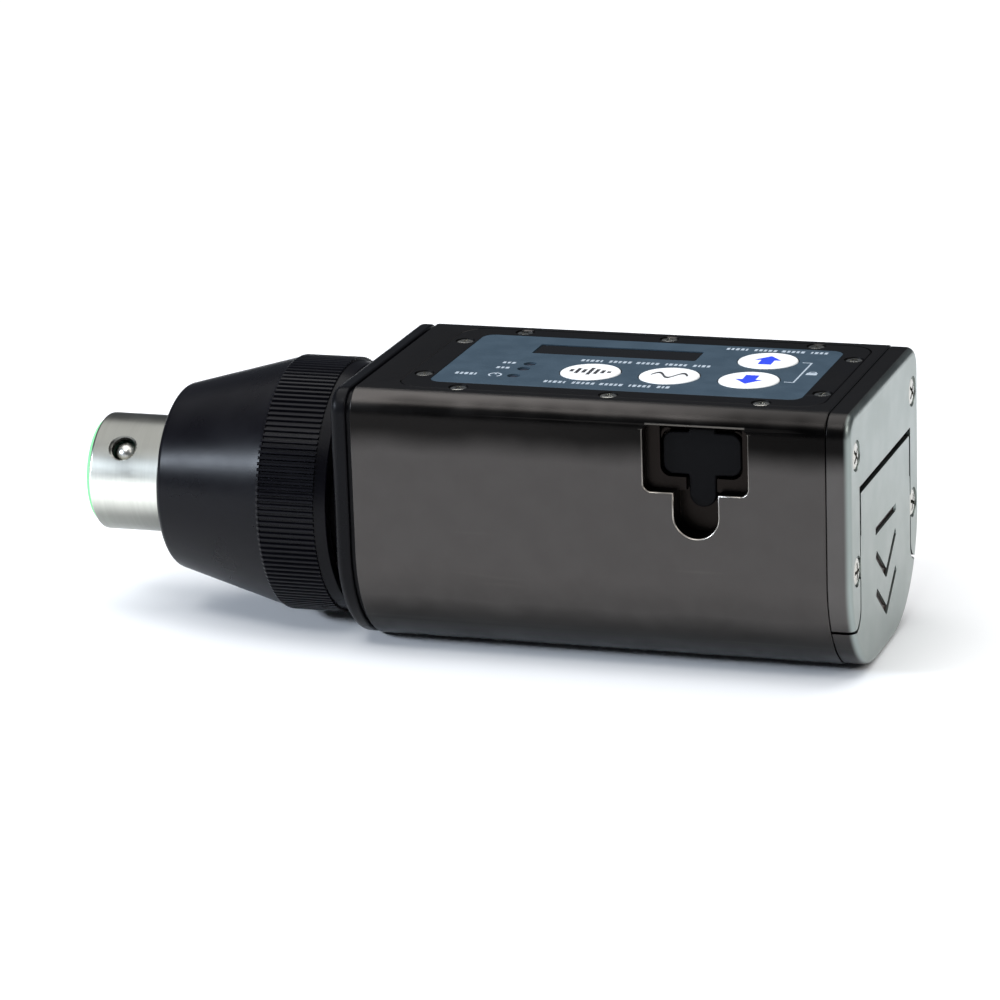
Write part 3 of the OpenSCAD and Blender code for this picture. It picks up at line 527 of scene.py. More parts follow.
finish = {name: make(name) for name, make in {
    "nickel_housing": housing_metal, "pale_end_cap": cap_metal, "cell_jacket": cell_wrap,
    "satin_barrel": barrel_metal, "mint_insert": mint_plastic}.items()}
plain_finishes = {
    "black_insulator": ((0.0022, 0.0022, 0.003), 0.3, dict(grain=5000.0, bump=0.1, specular=0.09)),
    "screw_steel": ((0.5, 0.49, 0.45), 0.22, dict(scratches=0.4, **STEEL)),
    "spring_gold": ((0.83, 0.62, 0.28), 0.25, dict(metallic=1.0)),
    "black_panel": (BLACK_PAINT, 0.45, dict(grain=6000.0, bump=0.2, specular=0.09, scratches=0.35,
        scratch_colour=(0.05, 0.05, 0.053, 1))),
    "slate_overlay": ((0.031, 0.056, 0.081), 0.5, dict(tone=0.05, grain=12000.0, bump=0.5, specular=0.3)),
    "dark_window": ((0.003, 0.003, 0.0035), 0.2, dict(bump=0.02, specular=0.12, rough_spread=0.03)),
    "display_green": ((0.2, 0.27, 0.2), 0.5, dict()),
    "led_lens": ((0.006, 0.01, 0.022), 0.12, dict(coat=0.5, rough_spread=0.04)),
    "white_button": ((0.86, 0.87, 0.87), 0.42, dict(tone=0.02, grain=8000.0, bump=0.1)),
    "circuit_board": ((0.03, 0.16, 0.08), 0.35, dict(grain=2500.0, coat=0.3)),
    "switch_steel": ((0.62, 0.62, 0.62), 0.3, dict(scratches=0.4, **STEEL)),
    "tin_plate": ((0.66, 0.67, 0.68), 0.3, dict(scratches=0.4, **STEEL)),
    "black_component": ((0.02, 0.02, 0.022), 0.55, dict()),
    "amber_flex": ((0.5, 0.24, 0.04), 0.25, dict(coat=0.4)),
    "black_tray": ((0.02, 0.02, 0.022), 0.5, dict(grain=3000.0, bump=0.3)),
    "black_rubber": ((0.003, 0.003, 0.0035), 0.6, dict(tone=0.2, grain=3500.0, bump=0.35, specular=0.06)),
    "black_coupler": (BLACK_COUPLER, 0.3, dict(grain=7000.0, bump=0.1, specular=0.125, rough_spread=0.03)),
    "black_neck": ((0.003, 0.003, 0.004), 0.45, dict(specular=0.2)),
    "spring_steel": ((0.5, 0.51, 0.52), 0.3, dict(**STEEL)),
    "nickel_nut": ((0.62, 0.6, 0.54), 0.3, dict(scratches=0.3, **STEEL)),
    "contact_gold": ((0.83, 0.62, 0.28), 0.22, dict(metallic=1.0)),
    "ball_steel": ((0.5, 0.49, 0.46), 0.3, dict(metallic=1.0, bump=0.02, rough_spread=0.03)),
    "wire_sleeve": ((0.4, 0.03, 0.03), 0.4, dict()),
    "wire_sleeve_tan": ((0.5, 0.32, 0.14), 0.4, dict()),
    "print_pale": ((0.4, 0.46, 0.52), 0.5, dict(tone=0.05)),
    "print_dark": ((0.03, 0.03, 0.035), 0.5, dict()),
    "print_blue": ((0.012, 0.045, 0.62), 0.45, dict()),
}
for name, (colour, roughness, more) in plain_finishes.items():
    finish[name] = surface(name, colour, roughness, **more)

node_slot = {entry["node"]: entry["material_slot"] for entry in frame["record"]["subparts"]}
bodies = frame["record"]["behaviour"]["bodies"]
node_body = {node: body for body, members in bodies.items() for node in members}
for node, piece in frame["nodes"].items():
    piece.data.materials.clear()
    piece.data.materials.append(finish[node_slot[node]])


# ---- mesh building blocks ----

def new_piece(name, mesh, material=None):
    piece = bpy.data.objects.new(name, mesh)
    bpy.context.scene.collection.objects.link(piece)
    if material:
        mesh.materials.clear()
        mesh.materials.append(finish[material])
    return piece


def settle(piece, angle=35.0):
    """Smooth shading with creases, and flat faces kept flat."""
    piece.data.shade_smooth()
    piece.data.set_sharp_from_angle(angle=math.radians(angle))
    even = piece.modifiers.new("even_faces", "WEIGHTED_NORMAL")
    even.keep_sharp = True


def stand_for(piece, node, angle=35.0):
    """Shades a finished piece and lets it stand for a node, on that node's body."""
    settle(piece, angle)
    hand_over(piece, node)


def hand_over(piece, node):
    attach(piece, node_body[node])
    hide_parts(node)


def from_bmesh(name, form):
    bmesh.ops.recalc_face_normals(form, faces=form.faces)
    mesh = bpy.data.meshes.new(name)
    form.to_mesh(mesh)
    form.free()
    return mesh


def loft(name, rings):
    """Closed skin through rings that all have the same number of points."""
    form = bmesh.new()
    levels = [[form.verts.new(point) for point in ring] for ring in rings]
    count = len(levels[0])
    for lower, upper in zip(levels, levels[1:]):
        for i in range(count):
            j = (i + 1) % count
            form.faces.new((lower[i], lower[j], upper[j], upper[i]))
    form.faces.new(levels[0][::-1])
    form.faces.new(levels[-1])
    return from_bmesh(name, form)


def lathe(name, profile, centre, axis="X", steps=144):
    """Turns a closed profile of (along, radius) points round an axis through centre."""
    form = bmesh.new()
    rings = []
    for k in range(steps):
        turn = 2 * math.pi * k / steps
        ring = []
        for along, radius in profile:
            u, v = radius * math.cos(turn), radius * math.sin(turn)
            offset = Vector((along, u, v)) if axis == "X" else Vector((u, v, along))
            ring.append(form.verts.new(Vector(centre) + offset))
        rings.append(ring)
    count = len(profile)
    for k in range(steps):
        here, there = rings[k], rings[(k + 1) % steps]
        for i in range(count):
            j = (i + 1) % count
            form.faces.new((here[i], here[j], there[j], there[i]))
    bmesh.ops.remove_doubles(form, verts=form.verts, dist=0.0005 * MM)
    return from_bmesh(name, form)


def turned_piece(name, material, profile, centre, axis="X", steps=144):
    return new_piece(name, lathe(name, profile, centre, axis, steps), material)


def bore(name, radius, low, high, centre, axis="Z", steps=40):
    """A plain round rod, mostly used to cut a hole."""
    return lathe(name, [(low, 0.0), (low, radius), (high, radius), (high, 0.0)], centre, axis, steps)


def merged(meshes):
    """One mesh out of several that don't touch, so that they cut in one step."""
    form = bmesh.new()
    for mesh in meshes:
        form.from_mesh(mesh)
    joined = bpy.data.meshes.new("merged")
    form.to_mesh(joined)
    form.free()
    return joined


def filleted(corners, steps=6):
    """Closed outline whose corners (a, b, radius) are rounded."""
    points = []
    count = len(corners)
    for i, (a, b, radius) in enumerate(corners):
        here = Vector((a, b))
        if radius <= 0:
            points.append((a, b))
            continue
        back = (Vector(corners[i - 1][:2]) - here).normalized()
        ahead = (Vector(corners[(i + 1) % count][:2]) - here).normalized()
        half = back.angle(ahead) / 2
        reach = radius / math.tan(half)
        centre = here + (back + ahead).normalized() * (radius / math.sin(half))
        first = (here + back * reach) - centre
        last = (here + ahead * reach) - centre
        sweep = first.angle_signed(last)
        for k in range(steps + 1):
            turn = -sweep * k / steps
            c, s = math.cos(turn), math.sin(turn)
            points.append((centre.x + first.x * c - first.y * s, centre.y + first.x * s + first.y * c))
    return points


def prism(name, outline, low, high, axis="Z"):
    """Straight prism over a 2-D outline; axis X takes (y, z), Y takes (x, z), Z takes (x, y)."""
    place = {"X": lambda a, b, h: (h, a, b), "Y": lambda a, b, h: (a, h, b), "Z": lambda a, b, h: (a, b, h)}
    return loft(name, [[place[axis](a, b, level) for a, b in outline] for level in (low, high)])


def carve(piece, tool_mesh, operation="DIFFERENCE"):
    """Applies a boolean with a scratch tool, which is then removed."""
    tool = new_piece("tool", tool_mesh)
    step = piece.modifiers.new("carve", "BOOLEAN")
    step.operation = operation
    step.solver = "EXACT"
    step.object = tool
    bake_modifiers(piece)
    bpy.data.objects.remove(tool)


def bake_modifiers(piece):
    bpy.context.view_layer.update()
    graph = bpy.context.evaluated_depsgraph_get()
    made = bpy.data.meshes.new_from_object(piece.evaluated_get(graph))
    piece.modifiers.clear()
    old = piece.data
    piece.data = made
    bpy.data.meshes.remove(old)


def soften(piece, width, segments=3, pick=None, angle=35.0, clamp=True):
    """Rounds the sharp edges that pick accepts."""
    form = bmesh.new()
    form.from_mesh(piece.data)
    bmesh.ops.remove_doubles(form, verts=form.verts, dist=0.001 * MM)
    bmesh.ops.dissolve_limit(form, angle_limit=math.radians(0.5), verts=form.verts, edges=form.edges)
    chosen = [e for e in form.edges if len(e.link_faces) == 2 and e.calc_face_angle(0) > math.radians(angle)
              and (pick is None or pick((e.verts[0].co + e.verts[1].co) / 2))]
    bmesh.ops.bevel(form, geom=chosen, offset=width, offset_type="OFFSET", segments=segments, profile=0.5,
                    affect="EDGES", clamp_overlap=clamp)
    form.to_mesh(piece.data)
    form.free()


def refine(node, width, segments=3, pick=None, clamp=True):
    """Copy of a CAD node's form, welded, with its sharp edges softened."""
    source = frame["nodes"][node]
    piece = new_piece(node + "_form", source.data.copy(), node_slot[node])
    soften(piece, width, segments, pick, clamp=clamp)
    stand_for(piece, node)


def quarter(steps):
    """A rounded edge in shares of its radius, as (along, inward), from the side to the end."""
    turns = [math.pi / 2 * k / steps for k in range(steps + 1)]
    return [(1 - math.sin(turn), 1 - math.cos(turn)) for turn in turns]


# ---- body shells ----

def body_loop(inset, steps=28):
    """The body's D-shaped section as (y, z), drawn in by inset."""
    top = face_z - corner_radius
    low = back_radius
    wide = half_width - corner_radius
    narrow = half_width - back_radius
    arcs = [(wide, top, corner_radius, 0), (-wide, top, corner_radius, 90),
            (-narrow, low, back_radius, 180), (narrow, low, back_radius, 270)]
    points = []
    for y, z, radius, start in arcs:
        for k in range(steps + 1):
            turn = math.radians(start + 90 * k / steps)
            points.append((y + (radius - inset) * math.cos(turn), z + (radius - inset) * math.sin(turn)))
    return points


def body_slab(name, levels):
    return loft(name, [[(x, y, z) for y, z in body_loop(inset)] for x, inset in levels])


def rounded_levels(x0, x1, start_round, end_round, inset, steps=8):
    """(x, inset) steps that round both ends of a slab."""
    edge = quarter(steps)
    start = [(x0 + start_round * along, inset + start_round * inward) for along, inward in reversed(edge)]
    return start + [(x1 - end_round * along, inset + end_round * inward) for along, inward in edge]


def build_housing():
    def lip(point):
        near = point.y < -half_width + 0.05 * MM
        ends = min(abs(point.x - body_low.x), abs(point.x - body_high.x)) < 0.05 * MM
        outer = abs(point.y) > half_width - 3.9 * MM or point.z > face_z - 0.1 * MM or point.z < 1.9 * MM
        return near or (ends and outer)
    refine("housing", 0.28 * MM, 3, lip, clamp=False)


def build_insulator():
    x0, x1 = plate_low.x, plate_high.x
    levels = rounded_levels(x0, x1 - 0.75 * MM, 1.3 * MM, 0.35 * MM, 0.15 * MM)
    levels += [(x1 - 0.7 * MM, 0.75 * MM), (x1 - 0.05 * MM, 0.75 * MM), (x1, 0.6 * MM)]
    piece = new_piece("insulator_form", body_slab("insulator_form", levels), "black_insulator")
    carve(piece, bore("hole", 8.97 * MM, -10 * MM, 10 * MM, (plate_low.x, 0, axis_z), "X", 72))
    stand_for(piece, "insulator_plate")


def cap_blank(name):
    """The whole end cap with its outer edge rounded, before it is split into frame and door."""
    levels = rounded_levels(cap_low.x, cap_high.x, 0.25 * MM, 1.3 * MM, 0.15 * MM)
    return new_piece(name, body_slab(name, levels), "pale_end_cap")


door_top = cap_high.z - 12.95 * MM
door_half = half_width - 6.6 * MM
leg_end = face_z - 34 * MM
leg_round = 3.2 * MM
door_gap = 0.5 * MM


def door_outline(grow):
    """The door's outline as (y, z), running past the body's edge at the bottom."""
    side = door_half + grow
    shelf = leg_end - door_gap + grow
    wing = half_width + 2 * MM
    half = [(side, door_top + 1.5 * grow), (side, shelf + leg_round)]
    half += [(side + leg_round * inward, shelf + leg_round * along) for along, inward in quarter(12)[1:]]
    half += [(wing, shelf), (wing, -2 * MM)]
    return half + [(-y, z) for y, z in reversed(half)]


def mark_outline(corners):
    return filleted([(y, z, 0.25 * MM) for y, z in corners], 3)


def slanted(tip, side):
    """One arm of an arrow, from its tip at the centre line out and up."""
    turn = math.radians(37.5)
    out = Vector((math.cos(turn) * side, math.sin(turn)))
    across = Vector((-out.y, out.x)) * 0.65 * MM
    start = Vector((0, tip)) - out * 0.35 * MM
    end = Vector((0, tip)) + out * 8.2 * MM
    corners = [start - across, end - across, end + across, start + across]
    return [tuple(c) for c in (corners if side > 0 else corners[::-1])]


def build_end_frame():
    end_frame = cap_blank("end_frame_form")
    carve(end_frame, prism("door_way", door_outline(door_gap), cap_low.x - MM, cap_high.x + MM, "X"))
    for y, z in end_screw_seats():
        seat = mm((-6, 0), (-6, 1.1), (-1.75, 1.1), (-0.3, 2.4), (1, 2.4), (1, 0))
        carve(end_frame, lathe("seat", seat, (cap_high.x, y, z), steps=40))
    soften(end_frame, 0.16 * MM, 2, lambda p: p.x > cap_low.x + 0.4 * MM and p.x < cap_high.x + MM, 50)
    stand_for(end_frame, "end_frame")


def build_door():
    """The battery door: engraved marks, finger slot round its top edge, and a tongue on each side."""
    door = cap_blank("battery_door_form")
    carve(door, prism("door_keep", door_outline(0), cap_low.x + 0.05 * MM, cap_high.x + MM, "X"), "INTERSECT")
    low, high = axis_z - 1.1 * MM, axis_z + 0.1 * MM
    marks = [[(-6.8 * MM, low), (6.8 * MM, low), (6.8 * MM, high), (-6.8 * MM, high)]]
    for tip in (axis_z - 9.2 * MM, axis_z - 15.2 * MM):
        marks += [slanted(tip, 1), slanted(tip, -1)]
    for corners in marks:
        carve(door, prism("mark", mark_outline(corners), cap_high.x - 0.6 * MM, cap_high.x + MM, "X"))
    slot = 0.4 * MM
    wide, narrow, foot = door_half + MM, door_half - slot, door_top - 7 * MM
    rim = [(wide, foot), (wide, door_top + MM), (-wide, door_top + MM), (-wide, foot), (-narrow, foot),
           (-narrow, door_top - slot), (narrow, door_top - slot), (narrow, foot)]
    carve(door, prism("rim", rim, cap_high.x - 1.3 * MM, cap_high.x + MM, "X"))
    soften(door, 0.14 * MM, 2, lambda p: p.x > cap_low.x + 0.4 * MM, 50)
    for side in (-1, 1):
        y0, y1 = sorted((side * (door_half - 0.1 * MM), side * (door_half + 0.95 * MM)))
        z0, z1 = leg_end, door_top - MM
        near, far = (0, 0.3 * MM) if side > 0 else (0.3 * MM, 0)
        outline = filleted([(y0, z0, near), (y1, z0, far), (y1, z1, far), (y0, z1, near)], 3)
        carve(door, prism("tongue", outline, cap_low.x + 0.9 * MM, cap_low.x + 1.8 * MM, "X"), "UNION")
    stand_for(door, "battery_door")


def end_screw_seats():
    y = half_width - 4.4 * MM
    return [(s * y, face_z - drop) for s in (-1, 1) for drop in (7 * MM, 25 * MM)]


# ---- coupler and connector ----

RIB_COUNT = 136


def node_tree(name, inputs):
    tree = bpy.data.node_groups.new(name, "GeometryNodeTree")
    tree.interface.new_socket(name="Geometry", in_out="INPUT", socket_type="NodeSocketGeometry")
    for label, kind, default in inputs:
        socket = tree.interface.new_socket(name=label, in_out="INPUT", socket_type=kind)
        if default is not None:
            socket.default_value = default
    tree.interface.new_socket(name="Geometry", in_out="OUTPUT", socket_type="NodeSocketGeometry")
    nodes = Nodes(tree)
    return tree, nodes, nodes.add("NodeGroupInput").outputs, nodes.add("NodeGroupOutput")


def close_tree(nodes, out, instances, material):
    real = nodes.add("GeometryNodeRealizeInstances", {0: instances})
    dressed = nodes.add("GeometryNodeSetMaterial", {0: real.outputs[0], "Material": material})
    nodes.plug(out.inputs[0], dressed.outputs[0])


def grown(name, tree, values, mesh=None):
    """A piece made by a node tree: sets its inputs, evaluates it and keeps a plain mesh."""
    piece = new_piece(name, mesh or bpy.data.meshes.new(name))
    step = piece.modifiers.new("grow", "NODES")
    step.node_group = tree
    for socket in tree.interface.items_tree:
        if socket.in_out == "INPUT" and socket.name in values:
            step[socket.identifier] = values[socket.name]
    bake_modifiers(piece)
    return piece


def rib_tree():
    """Straight ribs in a ring about the connector axis, each a bar narrowed towards its crest."""
    tree, nodes, given, out = node_tree("knurl_ribs", [
        ("Ribs", "NodeSocketInt", 100), ("Root Radius", "NodeSocketFloat", 0.02),
        ("Height", "NodeSocketFloat", 0.0004), ("Start", "NodeSocketFloat", 0.0),
        ("Length", "NodeSocketFloat", 0.009), ("Base Width", "NodeSocketFloat", 0.0007),
        ("Crest", "NodeSocketFloat", 0.5), ("Front Ramp", "NodeSocketFloat", 0.0008),
        ("Axis Height", "NodeSocketFloat", 0.02), ("Material", "NodeSocketMaterial", None)])
    index = nodes.add("GeometryNodeInputIndex").outputs[0]
    turn = nodes.math("DIVIDE", nodes.times(index, 2 * math.pi), given["Ribs"])
    y = nodes.times(nodes.math("SINE", turn), nodes.times(given["Root Radius"], -1.0))
    z = nodes.times(nodes.math("COSINE", turn), given["Root Radius"])
    raised = nodes.math("ADD", z, given["Axis Height"])
    middle_x = nodes.math("ADD", given["Start"], nodes.times(given["Length"], 0.5))
    spot = nodes.vector(middle_x, y, raised)
    ring = nodes.add("GeometryNodePoints", {"Count": given["Ribs"], "Position": spot}).outputs[0]
    size = nodes.vector(given["Length"], given["Base Width"], given["Height"])
    bar = nodes.add("GeometryNodeMeshCube", {"Size": size}).outputs[0]
    here = nodes.add("GeometryNodeInputPosition").outputs[0]
    level = nodes.split(here)[2]
    crest = nodes.add("FunctionNodeCompare", {0: level, 1: 0.0}, data_type="FLOAT", operation="GREATER_THAN")
    shorter = nodes.math("SUBTRACT", 1.0, nodes.math("DIVIDE", given["Front Ramp"], given["Length"]))
    squeeze = nodes.vector(shorter, given["Crest"], 1.0)
    back = nodes.vector(nodes.times(given["Front Ramp"], 0.5))
    narrowed = nodes.add("ShaderNodeVectorMath", {0: here, 1: squeeze, 2: back}, operation="MULTIPLY_ADD")
    moves = {"Geometry": bar, "Selection": crest.outputs[0], "Position": narrowed.outputs[0]}
    shaped = nodes.add("GeometryNodeSetPosition", moves).outputs[0]
    placing = {"Points": ring, "Instance": shaped, "Rotation": nodes.vector(turn)}
    ribs = nodes.add("GeometryNodeInstanceOnPoints", placing).outputs[0]
    close_tree(nodes, out, ribs, given["Material"])
    return tree


def screw_tree():
    """A domed, cross-slotted screw on every input point, each turned by its own angle."""
    tree, nodes, given, out = node_tree("cross_screws", [
        ("Head Radius", "NodeSocketFloat", 0.0013), ("Dome", "NodeSocketFloat", 0.0003),
        ("Shank", "NodeSocketFloat", 0.004), ("Slot Width", "NodeSocketFloat", 0.0003),
        ("Slot Depth", "NodeSocketFloat", 0.0004), ("Tilt", "NodeSocketVector", None),
        ("Seed", "NodeSocketInt", 3), ("Material", "NodeSocketMaterial", None)])
    radius, dome, shank = given["Head Radius"], given["Dome"], given["Shank"]
    ball = nodes.add("GeometryNodeMeshUVSphere", {"Segments": 32, "Rings": 16, "Radius": 1.0}).outputs[0]
    flat = nodes.vector(radius, radius, dome)
    head = nodes.add("GeometryNodeTransform", {"Geometry": ball, "Scale": flat}).outputs[0]
    reach = nodes.times(radius, 1.25)
    deep = nodes.times(given["Slot Depth"], 2.0)
    top = nodes.vector(z=dome)
    slot = given["Slot Width"]
    for along, across in ((reach, slot), (slot, reach)):
        size = nodes.vector(along, across, deep)
        bar = nodes.add("GeometryNodeMeshCube", {"Size": size}).outputs[0]
        bar = nodes.add("GeometryNodeTransform", {"Geometry": bar, "Translation": top}).outputs[0]
        cut = nodes.add("GeometryNodeMeshBoolean", {"Mesh 1": head, "Mesh 2": bar}, operation="DIFFERENCE")
        head = cut.outputs["Mesh"]
    slim = nodes.times(radius, 0.45)
    shape = {"Vertices": 24, "Radius": slim, "Depth": shank}
    rod = nodes.add("GeometryNodeMeshCylinder", shape).outputs["Mesh"]
    below = nodes.math("SUBTRACT", 0.0, nodes.times(nodes.math("ADD", shank, dome), 0.5))
    sunk = nodes.vector(z=below)
    rod = nodes.add("GeometryNodeTransform", {"Geometry": rod, "Translation": sunk}).outputs[0]
    whole = nodes.add("GeometryNodeJoinGeometry")
    tree.links.new(head, whole.inputs[0])
    tree.links.new(rod, whole.inputs[0])
    placing = {"Points": given["Geometry"], "Instance": whole.outputs[0], "Rotation": given["Tilt"]}
    spread = nodes.add("GeometryNodeInstanceOnPoints", placing).outputs[0]
    angle = nodes.add("FunctionNodeRandomValue", {2: 0.0, 3: math.pi / 2, "Seed": given["Seed"]},
                      data_type="FLOAT").outputs[1]
    twist = nodes.vector(z=angle)
    turned = nodes.add("GeometryNodeRotateInstances", {"Instances": spread, "Rotation": twist,
                                                       "Local Space": True}).outputs[0]
    close_tree(nodes, out, turned, given["Material"])
    return tree


def build_coupler():
    x0, x1 = sleeve_low.x, sleeve_high.x
    big = sleeve_high.y
    root = big - 0.42 * MM
    knurl_end = x1 - 1.9 * MM
    knurl_start = knurl_end - 9.1 * MM
    inside = sleeve_inside(x0, x1)
    outer = [(x0, 9.75 * MM, 0.2 * MM), (x0, 14.7 * MM, 1.3 * MM),
             (knurl_start, big - 0.22 * MM, 0.05 * MM), (knurl_start + 0.15 * MM, root, 0),
             (knurl_end, root, 0.2 * MM), (x1, root - 0.6 * MM, 0.25 * MM)]
    sleeve = turned_piece("coupler_sleeve_form", "black_coupler", filleted(outer + inside), (0, 0, axis_z))
    stand_for(sleeve, "coupler_sleeve")
    ribs = grown("coupler_knurl", rib_tree(), {
        "Ribs": RIB_COUNT, "Root Radius": root + 0.1 * MM, "Height": 0.6 * MM,
        "Start": knurl_start - 0.8 * MM, "Length": knurl_end - knurl_start + 0.9 * MM,
        "Base Width": 0.8 * MM, "Crest": 0.42, "Front Ramp": 0.9 * MM, "Axis Height": axis_z,
        "Material": finish["black_coupler"]})
    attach(ribs, "coupler")


def build_spring():
    """The coupler's compression spring; the real one shortens as the coupler is pressed."""
    low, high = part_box("coupler_spring")
    wire = 0.7 * MM
    coil_radius = high.y - wire
    turns, steps, sides = 5, 40, 12
    rings = []
    for k in range(turns * steps + 1):
        turn = 2 * math.pi * k / steps
        out = Vector((0, math.cos(turn), math.sin(turn)))
        centre = Vector((low.x + wire + (high.x - low.x - 2 * wire) * k / (turns * steps), 0, axis_z))
        centre += out * coil_radius
        spokes = [2 * math.pi * i / sides for i in range(sides)]
        rings.append([centre + (out * math.cos(a) + Vector((math.sin(a), 0, 0))) * wire for a in spokes])
    spring = new_piece("coupler_spring_form", loft("coupler_spring_form", rings), "spring_steel")
    spring.data.shade_smooth()
    hand_over(spring, "coupler_spring")
    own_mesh(spring)


def sleeve_inside(x0, x1):
    """Corners of the sleeve's inside: mouth, snap ring groove, washer shoulder, guide and nose."""
    ring_low, ring_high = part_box("snap_ring")
    slack = 0.05 * MM
    mouth = sleeve_high.y - 2.95 * MM
    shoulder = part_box("thrust_washer")[0].x - slack
    groove = ring_high.y + 0.1 * MM
    guide = 11.48 * MM
    return [(x1, mouth, 0.2 * MM), (ring_high.x + slack, mouth, 0), (ring_high.x + slack, groove, 0),
            (ring_low.x - slack, groove, 0), (ring_low.x - slack, mouth, 0), (shoulder, mouth, 0),
            (shoulder, guide, 0), (x0 + 3 * MM, guide, 0), (x0 + 3 * MM, 9.75 * MM, 0)]


def ball_drill(ball, profile):
    """A cutter turned about the line from the connector axis out through the latch ball."""
    out = Vector((0, ball.y, ball.z - axis_z)).normalized()
    drill = lathe("drill", profile, (0, 0, 0), "Z", 48)
    drill.transform(Matrix.Translation(ball) @ out.to_track_quat("Z", "Y").to_matrix().to_4x4())
    return drill


def build_barrel():
    x0 = barrel_low.x
    outer = barrel_high.y
    bore_radius = outer - 1.4 * MM
    seat = sleeve_low.x
    end = plate_low.x - 1.6 * MM
    profile = filleted([
        (x0, bore_radius, 0.12 * MM), (x0, outer, 0.55 * MM), (seat, outer, 0.1 * MM),
        (seat, outer - 0.4 * MM, 0), (end, outer - 0.4 * MM, 0.2 * MM), (end, outer - 0.5 * MM, 0),
        (barrel_high.x, outer - 0.5 * MM, 0.3 * MM), (barrel_high.x, bore_radius - 0.5 * MM, 0.2 * MM),
        (x0 + 12.5 * MM, bore_radius - 0.5 * MM, 0), (x0 + 12.5 * MM, bore_radius, 0)], 6)
    barrel = turned_piece("barrel_form", "satin_barrel", profile, (0, 0, axis_z))
    window = mm((-3, 0), (-3, 2), (1.95, 2), (2.3, 2.35), (4, 3), (4, 0))
    carve(barrel, ball_drill(middle("latch_ball"), window))
    stand_for(barrel, "barrel", 30)


def build_insert():
    low_corner, high_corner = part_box("xlr_insert")
    lip = high_corner.y - 0.15 * MM
    body = barrel_high.y - 1.45 * MM
    x0 = low_corner.x
    profile = filleted([(x0, 0.0, 0), (x0, lip, 0.35 * MM), (barrel_low.x, lip, 0), (barrel_low.x, body, 0),
                        (high_corner.x, body, 0.3 * MM), (high_corner.x, 0.0, 0)], 5)
    insert = turned_piece("insert_form", "mint_insert", profile, (0, 0, axis_z), steps=96)
    socket = mm((-2, 0), (-2, 2.3), (0.3, 1.65), (1.1, 1.65), (1.1, 2.05), (20, 2.05), (20, 0))
    ball = middle("latch_ball")
    for y, z in contact_seats(ball):
        carve(insert, lathe("socket", socket, (x0, y, z), steps=40))
    carve(insert, ball_drill(ball, mm((-2.1, 0), (-2.1, 2), (6, 2), (6, 0))))
    stand_for(insert, "xlr_insert", 30)


def contact_seats(ball):
    """Contact centres, a quarter turn apart, with the middle one opposite the latch ball."""
    towards = Vector((ball.y, ball.z - axis_z)).normalized() * 3.81 * MM
    seats = []
    for quarter in (1, 2, 3):
        spot = Matrix.Rotation(math.pi / 2 * quarter, 2) @ towards
        seats.append((spot.x, axis_z + spot.y))
    return seats


def build_ball():
    low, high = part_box("latch_ball")
    form = bmesh.new()
    bmesh.ops.create_icosphere(form, subdivisions=4, radius=(high.x - low.x) / 2,
                               matrix=Matrix.Translation((low + high) / 2))
    ball = new_piece("latch_ball_form", from_bmesh("latch_ball_form", form), "ball_steel")
    stand_for(ball, "latch_ball", 60)


# ---- control panel ----

def rounded_outline(x0, x1, y0, y1, radius, steps=8):
    return filleted([(x0, y0, radius), (x1, y0, radius), (x1, y1, radius), (x0, y1, radius)], steps)


def panel_slab(name, low, high, corner, edge, material):
    """A plate with rounded corners whose top edge is rounded over."""
    rings = [(low.z, 0)] + [(high.z - edge * along, edge * inward) for along, inward in quarter(4)]
    sheets = []
    for z, inset in rings:
        outline = rounded_outline(low.x + inset, high.x - inset, low.y + inset, high.y - inset,
                                  corner - inset)
        sheets.append([(x, y, z) for x, y in outline])
    return new_piece(name, loft(name, sheets), material)


key_names = ["audio_button", "freq_button", "up_button", "down_button"]
lens_names = ["level_led_high", "level_led_low", "power_led"]


def panel_screw_places():
    low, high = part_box("panel_screws")
    head = 1.6 * MM
    first, last = low.x + head, high.x - head
    row = high.y - head
    rows = (first + 7.8 * MM, (first + last) / 2 + 0.05 * MM, last - 7.7 * MM)
    ends = [(x, side * 10.1 * MM) for x in (first, last) for side in (-1, 1)]
    return [(x, side * row) for x in rows for side in (-1, 1)] + ends


def panel_cuts(low, high, slack):
    """Cutters for the window, keys and lenses of the panel."""
    cuts = []
    pad = 0.1 * MM + slack
    frame_low, frame_high = window_glass()
    outline = rounded_outline(frame_low.x - pad, frame_high.x + pad, frame_low.y - pad, frame_high.y + pad,
                              0.4 * MM, 4)
    cuts.append(prism("cut", outline, low, high))
    for node in key_names:
        centre = middle(node)
        radius = key_radius() + 0.15 * MM + slack
        cuts.append(bore("cut", radius, low - centre.z, high - centre.z, centre, "Z", 72))
    for node in lens_names:
        centre = middle(node)
        cuts.append(bore("cut", 1 * MM + slack, low - centre.z, high - centre.z, centre, "Z", 32))
    return cuts


def window_glass():
    """The window's clear top, which is smaller than its hidden flange."""
    flange = Vector((0.8, 0.8, 0)) * MM
    return window_low + flange, window_high - flange


def key_radius():
    low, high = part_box("audio_button")
    return (high.x - low.x) / 2 - 0.55 * MM


